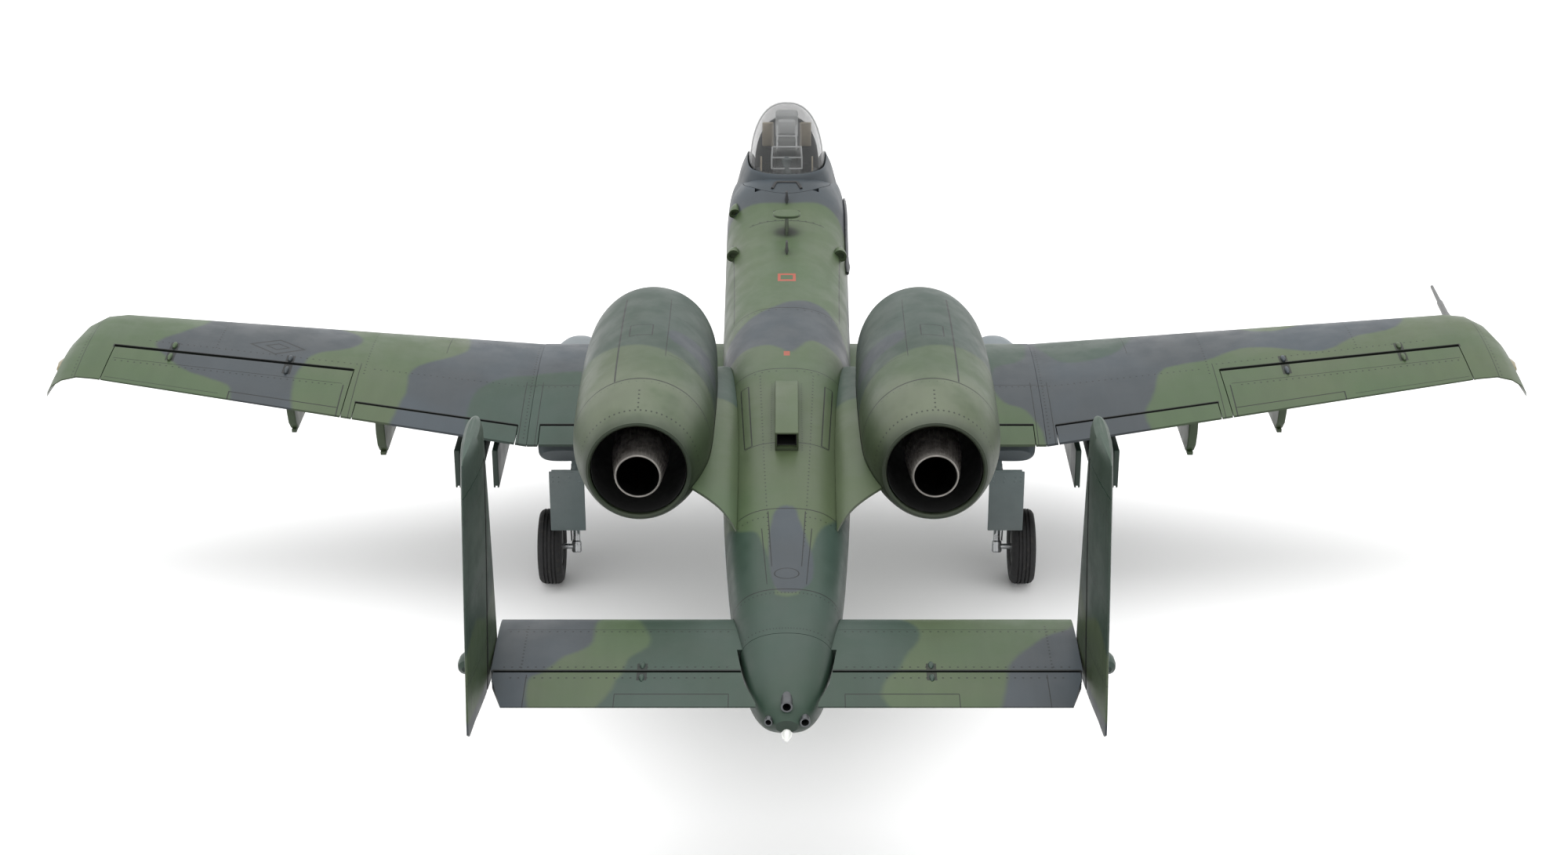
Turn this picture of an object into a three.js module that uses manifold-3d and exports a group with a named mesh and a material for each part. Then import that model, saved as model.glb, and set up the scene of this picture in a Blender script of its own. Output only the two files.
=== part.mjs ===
// A twin-engine ducted-fan model aeroplane on a tricycle undercarriage, as named separate solids.
// Millimetres. +X is the right wing, +Y the nose, +Z up. The origin is on the ground under the
// middle of the model.
// Places on the airframe are written in metres of the full-size aeroplane: x from the centreline,
// s aft from the nose and z above the fuselage datum. at() turns them into model millimetres.
import * as THREE from "three";
import { mergeVertices } from "three/addons/utils/BufferGeometryUtils.js";
import Module from "manifold-3d";

const wasm = await Module();
wasm.setup();

// Driving dimensions
const WINGSPAN = 1500;
const FULL_SIZE_SPAN = 17.53;
const FULL_SIZE_LENGTH = 16.26;
const GROUND = 0.58; // the ground lies this far below the datum
const SEAM = 0.5; // gap between two fixed pieces, in millimetres
const HINGE_GAP = 0.9; // gap round a moving control surface, in millimetres
const LIP = 2.6; // how far the fixed edge stands ahead of a hinge line, in millimetres
const WIDE_LIP = 4.4; // the same ahead of a thick surface that turns both ways

const M = WINGSPAN / FULL_SIZE_SPAN;
const LENGTH = FULL_SIZE_LENGTH * M;
const sideSign = { left: -1, right: 1 };
const SIDES = ["left", "right"];

const yOf = (s) => LENGTH / 2 - s * M;
const zOf = (z) => (z + GROUND) * M;
const at = (x, s, z) => new THREE.Vector3(x * M, yOf(s), zOf(z));

// ---------- solids ----------

// A closed three.js geometry as a manifold-3d solid.
function solid(geometry) {
  const g = geometry.clone();
  g.deleteAttribute("normal");
  g.deleteAttribute("uv");
  const merged = mergeVertices(g, 1e-3);
  const triVerts = new Uint32Array(merged.index.array);
  const vertProperties = new Float32Array(merged.attributes.position.array);
  const made = new wasm.Manifold(new wasm.Mesh({ numProp: 3, vertProperties, triVerts }));
  if (made.volume() > 0) return made;
  for (let i = 0; i < triVerts.length; i += 3) {
    [triVerts[i + 1], triVerts[i + 2]] = [triVerts[i + 2], triVerts[i + 1]];
  }
  return new wasm.Manifold(new wasm.Mesh({ numProp: 3, vertProperties, triVerts }));
}

function geometryOf(made) {
  const mesh = made.getMesh();
  const position = new Float32Array(mesh.numVert * 3);
  for (let i = 0; i < mesh.numVert; i++) {
    position.set(mesh.vertProperties.subarray(i * mesh.numProp, i * mesh.numProp + 3), i * 3);
  }
  const g = new THREE.BufferGeometry();
  g.setAttribute("position", new THREE.BufferAttribute(position, 3));
  g.setIndex(new THREE.BufferAttribute(new Uint32Array(mesh.triVerts), 1));
  g.computeVertexNormals();
  return g;
}

// The largest single body of a solid, without the slivers that a cut leaves.
function mainBody(made) {
  return made.decompose().reduce((best, body) => (body.volume() > best.volume() ? body : best));
}

// A skin through rings of points, each with the same count, closed by a fan at both ends.
function loft(rings) {
  const n = rings[0].length;
  const points = rings.flat();
  const index = [];
  for (let i = 0; i + 1 < rings.length; i++) {
    for (let k = 0; k < n; k++) {
      const a = i * n + k;
      const b = i * n + ((k + 1) % n);
      index.push(a, b, a + n, b, b + n, a + n);
    }
  }
  for (const [first, flip] of [[0, true], [(rings.length - 1) * n, false]]) {
    const centre = new THREE.Vector3();
    for (let k = 0; k < n; k++) centre.addScaledVector(points[first + k], 1 / n);
    points.push(centre);
    for (let k = 0; k < n; k++) {
      const a = first + k;
      const b = first + ((k + 1) % n);
      index.push(points.length - 1, flip ? b : a, flip ? a : b);
    }
  }
  const g = new THREE.BufferGeometry().setFromPoints(points);
  g.setIndex(index);
  return solid(g);
}

function box(x0, x1, s0, s1, z0, z1) {
  const a = at(x0, s1, z0);
  const b = at(x1, s0, z1);
  const g = new THREE.BoxGeometry(b.x - a.x, b.y - a.y, b.z - a.z);
  return solid(g.translate((a.x + b.x) / 2, (a.y + b.y) / 2, (a.z + b.z) / 2));
}

// A round bar from point a to point b, with a radius in millimetres at each end.
function bar(a, b, radiusA, radiusB = radiusA, sides = 16) {
  const g = new THREE.CylinderGeometry(radiusB, radiusA, a.distanceTo(b), sides);
  const along = new THREE.Vector3().subVectors(b, a).normalize();
  g.applyQuaternion(new THREE.Quaternion().setFromUnitVectors(new THREE.Vector3(0, 1, 0), along));
  const middle = a.clone().add(b).multiplyScalar(0.5);
  return solid(g.translate(middle.x, middle.y, middle.z));
}

// A plan outline of [x, s] points extruded from height z0 to z1.
function planPrism(outline, z0, z1) {
  const shape = new THREE.Shape(outline.map(([x, s]) => new THREE.Vector2(x * M, yOf(s))));
  const g = new THREE.ExtrudeGeometry(shape, { depth: (z1 - z0) * M, bevelEnabled: false });
  return solid(g.translate(0, 0, zOf(z0)));
}

// A side outline of [s, z] points extruded from x0 to x1.
function sidePrism(outline, x0, x1) {
  const shape = new THREE.Shape(outline.map(([s, z]) => new THREE.Vector2(yOf(s), zOf(z))));
  const g = new THREE.ExtrudeGeometry(shape, { depth: (x1 - x0) * M, bevelEnabled: false });
  const axes = new THREE.Matrix4().makeBasis(
    new THREE.Vector3(0, 1, 0), new THREE.Vector3(0, 0, 1), new THREE.Vector3(1, 0, 0));
  return solid(g.applyMatrix4(axes).translate(x0 * M, 0, 0));
}

// A [s, r] profile turned round an axis parallel to Y.
function turnedAlongY(profile, x, z, sides) {
  const points = [...profile, profile[0]].map(([s, r]) => new THREE.Vector2(r * M, yOf(s)));
  return solid(new THREE.LatheGeometry(points, sides).translate(x * M, 0, zOf(z)));
}

// An [offset, r] profile turned round an axis parallel to X, for a wheel at centre.
function wheelTurned(profile, centre, sides) {
  const points = [...profile, profile[0]].map(([offset, r]) => new THREE.Vector2(r * M, offset * M));
  const g = new THREE.LatheGeometry(points, sides).rotateZ(-Math.PI / 2);
  return solid(g.translate(centre.x, centre.y, centre.z));
}

const MIRROR = new THREE.Matrix4().makeScale(-1, 1, 1);

function mirrored(made) {
  const g = geometryOf(made).applyMatrix4(MIRROR);
  return solid(g);
}

const onSide = (side, made) => (side === "right" ? made : mirrored(made));

// ---------- fuselage form ----------

// [s, half width, top, bottom, height of the widest line, squareness of the shoulders]
const FUSELAGE = [
  [0.3, 0.2, 1.66, 1.26, 1.46, 2.0],
  [0.6, 0.34, 1.88, 1.15, 1.5, 2.0],
  [1.0, 0.455, 2.1, 1.04, 1.58, 2.1],
  [1.6, 0.6, 2.4, 0.95, 1.75, 2.2],
  [2.2, 0.69, 2.7, 0.91, 2.05, 2.4],
  [3.0, 0.76, 3.0, 0.9, 2.34, 2.7],
  [4.2, 0.79, 3.22, 0.9, 2.44, 2.6],
  [5.0, 0.79, 3.04, 0.91, 2.3, 2.5],
  [6.5, 0.78, 2.92, 0.95, 2.14, 2.5],
  [9.5, 0.75, 2.83, 1.02, 2.0, 2.6],
  [11.0, 0.705, 2.72, 1.1, 1.98, 2.6],
  [12.5, 0.645, 2.58, 1.24, 1.98, 2.6],
  [14.0, 0.555, 2.4, 1.42, 1.97, 2.5],
  [15.0, 0.455, 2.27, 1.55, 1.95, 2.3],
  [15.6, 0.36, 2.14, 1.63, 1.92, 2.1],
  [15.9, 0.25, 2.03, 1.7, 1.88, 2.0],
  [16.06, 0.1, 1.92, 1.8, 1.86, 2.0],
];
const BELLY_POWER = 2.8;
const FUSELAGE_POINTS = 20;

// A smooth curve through the rows of a table, read at the first column's value s.
function tableAt(rows, s) {
  let i = rows.findIndex((row) => row[0] >= s);
  i = Math.min(Math.max(i, 1), rows.length - 1);
  const [a, b] = [rows[i - 1], rows[i]];
  const before = rows[i - 2] || a;
  const after = rows[i + 1] || b;
  const span = b[0] - a[0];
  const t = Math.min(Math.max((s - a[0]) / span, 0), 1);
  return a.slice(1).map((_, k) => {
    const c = k + 1;
    const slopeA = ((b[c] - before[c]) / (b[0] - before[0])) * span;
    const slopeB = ((after[c] - a[c]) / (after[0] - a[0])) * span;
    return (
      (2 * t ** 3 - 3 * t ** 2 + 1) * a[c] + (t ** 3 - 2 * t ** 2 + t) * slopeA +
      (3 * t ** 2 - 2 * t ** 3) * b[c] + (t ** 3 - t ** 2) * slopeB
    );
  });
}

const powered = (value, power) => Math.sign(value) * Math.abs(value) ** (2 / power);

// The fuselage's outline at s, grown by a millimetre offset.
function fuselageRing(s, grow = 0) {
  const [half, top, bottom, wide, shoulder] = tableAt(FUSELAGE, s);
  const g = grow / M;
  return Array.from({ length: FUSELAGE_POINTS }, (_, k) => {
    const angle = (2 * Math.PI * k) / FUSELAGE_POINTS;
    const up = Math.sin(angle);
    const power = up > 0 ? shoulder : BELLY_POWER;
    const height = up > 0 ? top - wide + g : wide - bottom + g;
    return at((half + g) * powered(Math.cos(angle), power), s, wide + height * powered(up, power));
  });
}

const FUSELAGE_STATIONS = [
  0.3, 0.42, 0.6, 0.8, 1.0, 1.3, 1.6, 1.9, 2.2, 2.6, 3.0, 3.4, 3.8, 4.2, 4.6, 5.0, 5.7, 6.5, 8.0, 9.5, 10.3,
  11.0, 11.8, 12.5, 13.3, 14.0, 14.5, 15.0, 15.3, 15.6, 15.8, 15.95, 16.06,
];

function fuselageBetween(s0, s1, grow = 0) {
  const inside = FUSELAGE_STATIONS.filter((s) => s > s0 + 0.05 && s < s1 - 0.05);
  return loft([s0, ...inside, s1].map((s) => fuselageRing(s, grow)));
}

const NOSE_JOINT = 1.0;
const TAIL_JOINT = 15.02;

// ---------- wing form ----------

const AIRFOIL_STEPS = 9;

// A wing section of [x, leading edge, trailing edge, height, thickness share, camber share].
function sectionRing([x, lead, trail, z, thick, camber], grow = 0) {
  const chord = trail - lead;
  const upper = [];
  const lower = [];
  for (let i = 0; i <= AIRFOIL_STEPS; i++) {
    const t = (1 - Math.cos((Math.PI * i) / AIRFOIL_STEPS)) / 2;
    const half = 5 * thick * chord *
      (0.2969 * Math.sqrt(t) - 0.126 * t - 0.3516 * t ** 2 + 0.2843 * t ** 3 - 0.1015 * t ** 4) +
      0.0035 * chord * t + grow / M;
    const middle = z + 4 * camber * chord * t * (1 - t);
    const s = lead + chord * t + (2 * t - 1) * (grow / M);
    upper.push(at(x, s, middle + half));
    if (i > 0) lower.push(at(x, s, middle - half));
  }
  return [...upper.reverse(), ...lower];
}

const wingLoft = (sections, grow = 0) => loft(sections.map((row) => sectionRing(row, grow)));

// Where a straight line through two [u, v] points stands at u.
const lineAt = ([u0, v0], [u1, v1], u) => v0 + ((v1 - v0) * (u - u0)) / (u1 - u0);

// Cuts a control surface out of a wing. hinge holds its two end points and the radius of its rounded
// front edge in millimetres at each; prism(gap, lead) makes the region behind the hinge line.
function cutSurface(wing, hinge, prism, lip = LIP) {
  const along = new THREE.Vector3().subVectors(hinge.b, hinge.a).normalize();
  const inset = (point, sign) => point.clone().addScaledVector(along, sign * HINGE_GAP);
  const nose = bar(inset(hinge.a, 1), inset(hinge.b, -1), hinge.ra, hinge.rb, 24);
  const cove = bar(hinge.a, hinge.b, hinge.ra + HINGE_GAP, hinge.rb + HINGE_GAP, 24);
  const moving = mainBody(wing.intersect(prism(HINGE_GAP, 0)).add(nose));
  const fixed = mainBody(wing.subtract(prism(0, lip)).subtract(cove));
  return [fixed, moving];
}

const levelHinge = (xa, xb, { s, z, radius }) => ({
  a: at(xa, s, z), b: at(xb, s, z), ra: radius, rb: radius });

// A plan region behind a hinge line that runs from [x0, s0] to [x1, s1].
const behindHinge = (x0, s0, x1, s1, far) => (gap, lead) => {
  const g = gap / M;
  const l = lead / M;
  return planPrism([[x0 + g, s0 - l], [x1 - g, s1 - l], [x1 - g, far], [x0 + g, far]], -1, 5);
};

// The same behind a hinge line that also climbs from z0 to z1, with the region's ends square to it.
const behindClimbingHinge = ([x0, s0, z0], [x1, s1, z1], far) => (gap, lead) => {
  const g = gap / M;
  const l = lead / M;
  const climb = (z1 - z0) / (x1 - x0);
  const level = (z) => {
    const inner = x0 + g - climb * (z - z0);
    const outer = x1 - g - climb * (z - z1);
    return [at(inner, s0 - l, z), at(outer, s1 - l, z), at(outer, far, z), at(inner, far, z)];
  };
  return loft([level(-1), level(5)]);
};

// ---------- materials ----------

function paint(color, roughness = 0.6, metalness = 0) {
  return new THREE.MeshStandardMaterial({ color, roughness, metalness });
}
const skin = paint(0x5f7058, 0.55);
const greySkin = paint(0x69727a, 0.55);
const darkSkin = paint(0x3b463f, 0.6);
const clear = new THREE.MeshStandardMaterial({
  color: 0xdde4e6, roughness: 0.05, transparent: true, opacity: 0.3 });
const black = paint(0x151617, 0.8);
const metal = paint(0x8b8c8c, 0.35, 0.9);
const burnt = paint(0x6b6560, 0.45, 0.85);
const cockpitGrey = paint(0x565b60, 0.7);

const model = new THREE.Group();

function piece(name, made, material) {
  const mesh = new THREE.Mesh(geometryOf(mainBody(made)), material);
  mesh.name = name;
  model.add(mesh);
}

function pair(name, made, material) {
  for (const side of SIDES) piece(`${name}_${side}`, onSide(side, made), material);
}

// ---------- wing ----------

const WING_Z = 1.53;
const PANEL_ROOT_X = 3.06; // the joint between the centre section and an outer panel
const TIP_X = FULL_SIZE_SPAN / 2;
const DIHEDRAL_RISE = 0.79;
const TIP_PANEL_X = 8.15; // outboard of this the tip droops
const panelLead = (x) => lineAt([PANEL_ROOT_X, 6.1], [TIP_PANEL_X, 6.8], x);
const panelTrail = (x) => lineAt([PANEL_ROOT_X, 9.08], [TIP_PANEL_X, 8.72], x);
const panelZ = (x) => WING_Z + (DIHEDRAL_RISE * (x - PANEL_ROOT_X)) / (TIP_X - PANEL_ROOT_X);
const ROOT_THICK = 0.15;
const CAMBER = 0.018;

const centreSections = [-1, 1].map((sign) => [
  sign * (PANEL_ROOT_X - SEAM / M), panelLead(PANEL_ROOT_X), panelTrail(PANEL_ROOT_X), WING_Z,
  ROOT_THICK, CAMBER,
]);
const panelSections = [
  ...[PANEL_ROOT_X, 5.2, TIP_PANEL_X].map((x) => [x, panelLead(x), panelTrail(x), panelZ(x), 0.142, CAMBER]),
  [8.36, 6.88, 8.71, 2.25, 0.135, 0.02],
  [8.54, 7.02, 8.7, 2.205, 0.12, 0.025],
  [8.67, 7.22, 8.68, 2.12, 0.1, 0.03],
  [8.74, 7.46, 8.65, 2.02, 0.08, 0.03],
  [TIP_X, 7.72, 8.6, 1.95, 0.05, 0.02],
];
const SPAR = { s: 7.1, z: 1.6, radius: 6 }; // radius in millimetres
const sparBar = (reach, radius) => bar(at(-reach, SPAR.s, SPAR.z), at(reach, SPAR.s, SPAR.z), radius);

let wingCentre = wingLoft(centreSections);
const INNER_FLAP = { x0: 0.95, x1: 2.93, s: 8.72, z: WING_Z + 0.022, radius: 0.062 * M, far: 9.4 };
for (const side of SIDES) {
  const sign = sideSign[side];
  const [xa, xb] = [INNER_FLAP.x0 * sign, INNER_FLAP.x1 * sign].sort((a, b) => a - b);
  const bay = behindHinge(xa, INNER_FLAP.s, xb, INNER_FLAP.s, INNER_FLAP.far);
  const [fixed, flap] = cutSurface(wingCentre, levelHinge(xa, xb, INNER_FLAP), bay);
  wingCentre = fixed;
  piece(`flap_inner_${side}`, flap, skin);
}
const sparHole = sparBar(PANEL_ROOT_X + 0.2, SPAR.radius + SEAM);
piece("wing_spar_tube", sparBar(PANEL_ROOT_X - 0.02, SPAR.radius), black);

// The ends of a hinge as [x, s, height over the panel's line, radius of the surface's front edge].
const OUTER_FLAP = [[3.19, 8.75, 0.021, 0.055], [5.12, 8.65, 0.019, 0.048]];
const AILERON = [[5.24, 7.96, 0.036, 0.094], [8.08, 8.02, 0.027, 0.062]];

// Cuts a surface out of an outer panel, as far back as the trailing edge.
function cutFromPanel(from, ends, lip) {
  const [a, b] = ends.map(([x, s, over]) => [x, s, panelZ(x) + over]);
  const [ra, rb] = ends.map(([, , , radius]) => radius * M);
  return cutSurface(from, { a: at(...a), b: at(...b), ra, rb }, behindClimbingHinge(a, b, 9.4), lip);
}

const [panelWithFlapBay, flap] = cutFromPanel(wingLoft(panelSections), OUTER_FLAP, LIP);
const [panel, aileron] = cutFromPanel(panelWithFlapBay, AILERON, WIDE_LIP);
pair("flap_outer", flap, skin);
pair("aileron", aileron, skin);
pair("wing_panel", panel, skin);
const PITOT_SIDES = 8;
const PITOT_X = 8.2;
const [pitotTip, pitotStep, pitotRoot] = [[6.0, 2.36], [6.42, 2.32], [6.79, 2.28]].map(
  ([s, z]) => at(PITOT_X, s, z));
piece("pitot_probe", bar(pitotTip, pitotStep, 0.02 * M, 0.028 * M, PITOT_SIDES)
  .add(bar(pitotStep, pitotRoot, 0.038 * M, 0.038 * M, PITOT_SIDES)), metal);

// ---------- main undercarriage pods ----------

const POD_X = 2.7;
// [s, half width, top, bottom]
const POD = [
  [5.1, 0.04, 1.26, 1.18],
  [5.22, 0.15, 1.37, 1.07],
  [5.5, 0.26, 1.46, 0.99],
  [5.95, 0.35, 1.52, 0.96],
  [6.6, 0.375, 1.52, 0.95],
  [7.3, 0.36, 1.52, 0.95],
  [8.2, 0.31, 1.5, 0.98],
  [8.4, 0.29, 1.3, 1.02],
  [8.54, 0.23, 1.22, 1.08],
];
const POD_POINTS = 16;
// The centre section's rows moved out to x = -reach and x = reach.
const reaching = (rows, reach) => rows.map(([x, ...rest]) => [Math.sign(x) * reach, ...rest]);
const wingBelly = wingLoft(reaching(centreSections, 3.4), SEAM);
const podRings = POD.map(([s, half, top, bottom]) =>
  Array.from({ length: POD_POINTS }, (_, k) => {
    const angle = (2 * Math.PI * k) / POD_POINTS;
    const z = (top + bottom) / 2 + ((top - bottom) / 2) * powered(Math.sin(angle), 2.8);
    return at(POD_X + half * powered(Math.cos(angle), 2.8), s, z);
  }));
const STRUT_X = 2.57;
const WHEEL_X = 2.87;
const LEG_PIVOT = { s: 7.92, z: 1.25 };
const wheelWell = box(2.68, 3.045, 5.9, 7.0, 0, 1.36).add(box(2.46, 2.72, 6.1, 8.3, 0, 1.36));
pair("gear_pod", loft(podRings).subtract(wingBelly).subtract(wheelWell), skin);

// ---------- main undercarriage legs ----------

const MAIN_WHEEL = { radius: 0.46, half: 0.15, rim: 0.27 };
const axleZ = MAIN_WHEEL.radius - GROUND;
const AXLE_S = 8.42;
const legTop = at(STRUT_X, LEG_PIVOT.s, LEG_PIVOT.z);
const legFoot = at(STRUT_X, AXLE_S, axleZ);
const legPoint = (share) => legTop.clone().lerp(legFoot, share);
const mainAxle = bar(at(STRUT_X, AXLE_S, axleZ), at(WHEEL_X + 0.13, AXLE_S, axleZ), 0.035 * M, 0.035 * M, 12);
const trunnion = bar(at(2.49, LEG_PIVOT.s, LEG_PIVOT.z), at(2.66, LEG_PIVOT.s, LEG_PIVOT.z), 0.05 * M);
const scissor = (share, reach) => legPoint(share).add(new THREE.Vector3(0, -reach * M, 0));
const scissorLink = bar(legPoint(0.55), scissor(0.72, 0.13), 0.022 * M, 0.022 * M, 8)
  .add(bar(scissor(0.72, 0.13), legPoint(0.93), 0.022 * M, 0.022 * M, 8));
const mainLeg = bar(legTop, legPoint(0.6), 0.06 * M, 0.06 * M, 14)
  .add(bar(legPoint(0.5), legFoot, 0.042 * M, 0.042 * M, 14))
  .add(bar(legPoint(0.96), legPoint(1.05), 0.06 * M, 0.06 * M, 14))
  .add(mainAxle).add(trunnion).add(scissorLink);
pair("main_strut", mainLeg, metal);

// A tyre's closed [offset, radius] profile, rounded at the tread.
function tyreProfile({ radius, half, rim }) {
  const side = [[half * 0.8, rim], [half, radius * 0.72], [half * 0.9, radius * 0.93], [half * 0.45, radius]];
  return [...side.map(([offset, r]) => [-offset, r]), ...side.reverse()];
}
const RIM_GAP = SEAM / M;
function rimProfile({ half, rim }, bore) {
  const edge = rim - RIM_GAP;
  const side = [[half * 0.75, edge], [half * 0.4, edge - 0.07], [half * 0.6, bore]];
  return [...side.map(([offset, r]) => [-offset, r]), ...side.reverse()];
}
const WHEEL_SIDES = 24;
const RIM_SIDES = 16;
const mainWheelCentre = at(WHEEL_X, AXLE_S, axleZ);
pair("main_tyre", wheelTurned(tyreProfile(MAIN_WHEEL), mainWheelCentre, WHEEL_SIDES), black);
pair("main_rim", wheelTurned(rimProfile(MAIN_WHEEL, 0.035 + RIM_GAP), mainWheelCentre, RIM_SIDES), metal);

const DOOR_HINGE = { s: 8.76, z: 1.05 };
const DOOR = { x0: 2.42, x1: 2.84, length: 0.78, thick: 0.024 };
const doorPlate = sidePrism([
  [DOOR_HINGE.s, DOOR_HINGE.z], [DOOR_HINGE.s + DOOR.thick, DOOR_HINGE.z],
  [DOOR_HINGE.s + DOOR.thick, DOOR_HINGE.z - DOOR.length], [DOOR_HINGE.s, DOOR_HINGE.z - DOOR.length],
], DOOR.x0, DOOR.x1);
const doorEnds = [DOOR.x0 + 0.03, DOOR.x1 - 0.03].map((x) => at(x, DOOR_HINGE.s, DOOR_HINGE.z));
const doorBarrel = bar(...doorEnds, 0.018 * M, 0.018 * M, 10);
pair("strut_door", doorPlate.add(doorBarrel), greySkin);

// ---------- nose undercarriage, right of the centreline beside the cannon ----------

const NOSE_X = 0.28;
const NOSE_PIVOT = { s: 3.05, z: 1.25 };
const NOSE_WHEEL = { radius: 0.3, half: 0.09, rim: 0.17 };
const noseAxleZ = NOSE_WHEEL.radius - GROUND;
const NOSE_AXLE_S = 3.14;
const STEER_Z = 0.42; // the turning leg starts below this
const noseTop = at(NOSE_X, NOSE_PIVOT.s, NOSE_PIVOT.z);
const noseCollar = at(NOSE_X, NOSE_PIVOT.s, STEER_Z);
const noseStrut = bar(noseTop, noseCollar, 0.05 * M, 0.05 * M, 14)
  .add(bar(at(0.15, NOSE_PIVOT.s, NOSE_PIVOT.z), at(0.41, NOSE_PIVOT.s, NOSE_PIVOT.z),
    0.04 * M, 0.04 * M, 12));
piece("nose_strut", noseStrut, metal);
const forkTop = STEER_Z - SEAM / M;
const forkCrown = noseAxleZ + NOSE_WHEEL.radius + 0.08;
const forkReach = NOSE_WHEEL.half + 0.035;
let fork = bar(at(NOSE_X, NOSE_PIVOT.s, forkTop), at(NOSE_X, NOSE_PIVOT.s, forkCrown), 0.04 * M, 0.04 * M, 14)
  .add(box(NOSE_X - forkReach - 0.02, NOSE_X + forkReach + 0.02, NOSE_PIVOT.s - 0.05, NOSE_PIVOT.s + 0.06,
    forkCrown - 0.03, forkCrown + 0.03));
for (const sign of [-1, 1]) {
  const x = NOSE_X + sign * forkReach;
  fork = fork.add(bar(at(x, NOSE_PIVOT.s, forkCrown), at(x, NOSE_AXLE_S, noseAxleZ),
    0.022 * M, 0.022 * M, 10));
}
fork = fork.add(bar(at(NOSE_X - forkReach - 0.02, NOSE_AXLE_S, noseAxleZ),
  at(NOSE_X + forkReach + 0.02, NOSE_AXLE_S, noseAxleZ), 0.022 * M, 0.022 * M, 12));
piece("nose_fork", fork, metal);
const noseWheelCentre = at(NOSE_X, NOSE_AXLE_S, noseAxleZ);
piece("nose_tyre", wheelTurned(tyreProfile(NOSE_WHEEL), noseWheelCentre, WHEEL_SIDES), black);
piece("nose_rim", wheelTurned(rimProfile(NOSE_WHEEL, 0.022 + RIM_GAP), noseWheelCentre, RIM_SIDES), metal);

// ---------- engines ----------

const ENGINE = { x: 1.53, z: 2.79 };
const NACELLE_OUTER = [
  [8.78, 0.59], [8.8, 0.622], [8.95, 0.677], [9.3, 0.73], [10.0, 0.755], [11.0, 0.752], [11.76, 0.73],
  [12.15, 0.666], [12.42, 0.585], [12.5, 0.545],
];
const NACELLE_INNER = [[12.5, 0.5], [12.1, 0.54], [11.0, 0.572], [9.0, 0.563]];
const NACELLE_SIDES = 24;
const nacelle = turnedAlongY([...NACELLE_OUTER, ...NACELLE_INNER], ENGINE.x, ENGINE.z, NACELLE_SIDES);
pair("nacelle", nacelle, skin);

const CORE = [
  [9.86, 0.235], [10.6, 0.255], [11.5, 0.29], [12.1, 0.29], [12.62, 0.24],
  [12.62, 0.218], [12.1, 0.212], [10.5, 0.2], [10.45, 0.186], [9.86, 0.186],
];
const CORE_SIDES = 18;
const VANES = 5;
// A radial blade: a flat plate from radius r0 to r1, pitched about its own length.
function blade(r0, r1, s, chord, thick, pitch, angle) {
  const g = new THREE.BoxGeometry((r1 - r0) * M, chord * M, thick * M);
  g.rotateX(pitch).translate(((r0 + r1) / 2) * M, 0, 0).rotateY(angle);
  return solid(g.translate(ENGINE.x * M, yOf(s), zOf(ENGINE.z)));
}
let core = turnedAlongY(CORE, ENGINE.x, ENGINE.z, CORE_SIDES);
for (let i = 0; i < VANES; i++) {
  core = core.add(blade(0.245, 0.56, 10.3, 0.42, 0.03, 0, (2 * Math.PI * (i + 0.5)) / VANES));
}
pair("core_nozzle", core, burnt);
const motor = bar(at(ENGINE.x, 9.9, ENGINE.z), at(ENGINE.x, 10.4, ENGINE.z), 0.175 * M, 0.175 * M, 16)
  .add(bar(at(ENGINE.x, 9.66, ENGINE.z), at(ENGINE.x, 9.95, ENGINE.z), 0.028 * M, 0.028 * M, 10));
pair("fan_motor", motor, metal);
const BLADES = 9;
const HUB = [
  [9.1, 0.0], [9.17, 0.08], [9.32, 0.155], [9.46, 0.185], [9.78, 0.185], [9.78, 0.034], [9.62, 0.034],
  [9.62, 0.0],
];
let rotor = solid(new THREE.LatheGeometry(HUB.map(([s, r]) => new THREE.Vector2(r * M, yOf(s))), 16)
  .translate(ENGINE.x * M, 0, zOf(ENGINE.z)));
for (let i = 0; i < BLADES; i++) {
  rotor = rotor.add(blade(0.15, 0.552, 9.6, 0.2, 0.022, 0.75, (2 * Math.PI * i) / BLADES));
}
pair("fan_rotor", rotor, black);

// ---------- tail ----------

const TAIL_Z = 2.0;
const FIN_X = 2.915;
const FIN_LEAN = 0.05;
const FIN_HALF = 0.128;
const TAIL_LEAD = 14.28;
const TAIL_TRAIL = 15.95;
const TAIL_HALF_SPAN = FIN_X - FIN_HALF - SEAM / M;
const tailSections = [-1, 1].map((sign) => [sign * TAIL_HALF_SPAN, TAIL_LEAD, TAIL_TRAIL, TAIL_Z, 0.105, 0]);
const tailWhole = wingLoft(tailSections);
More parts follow.
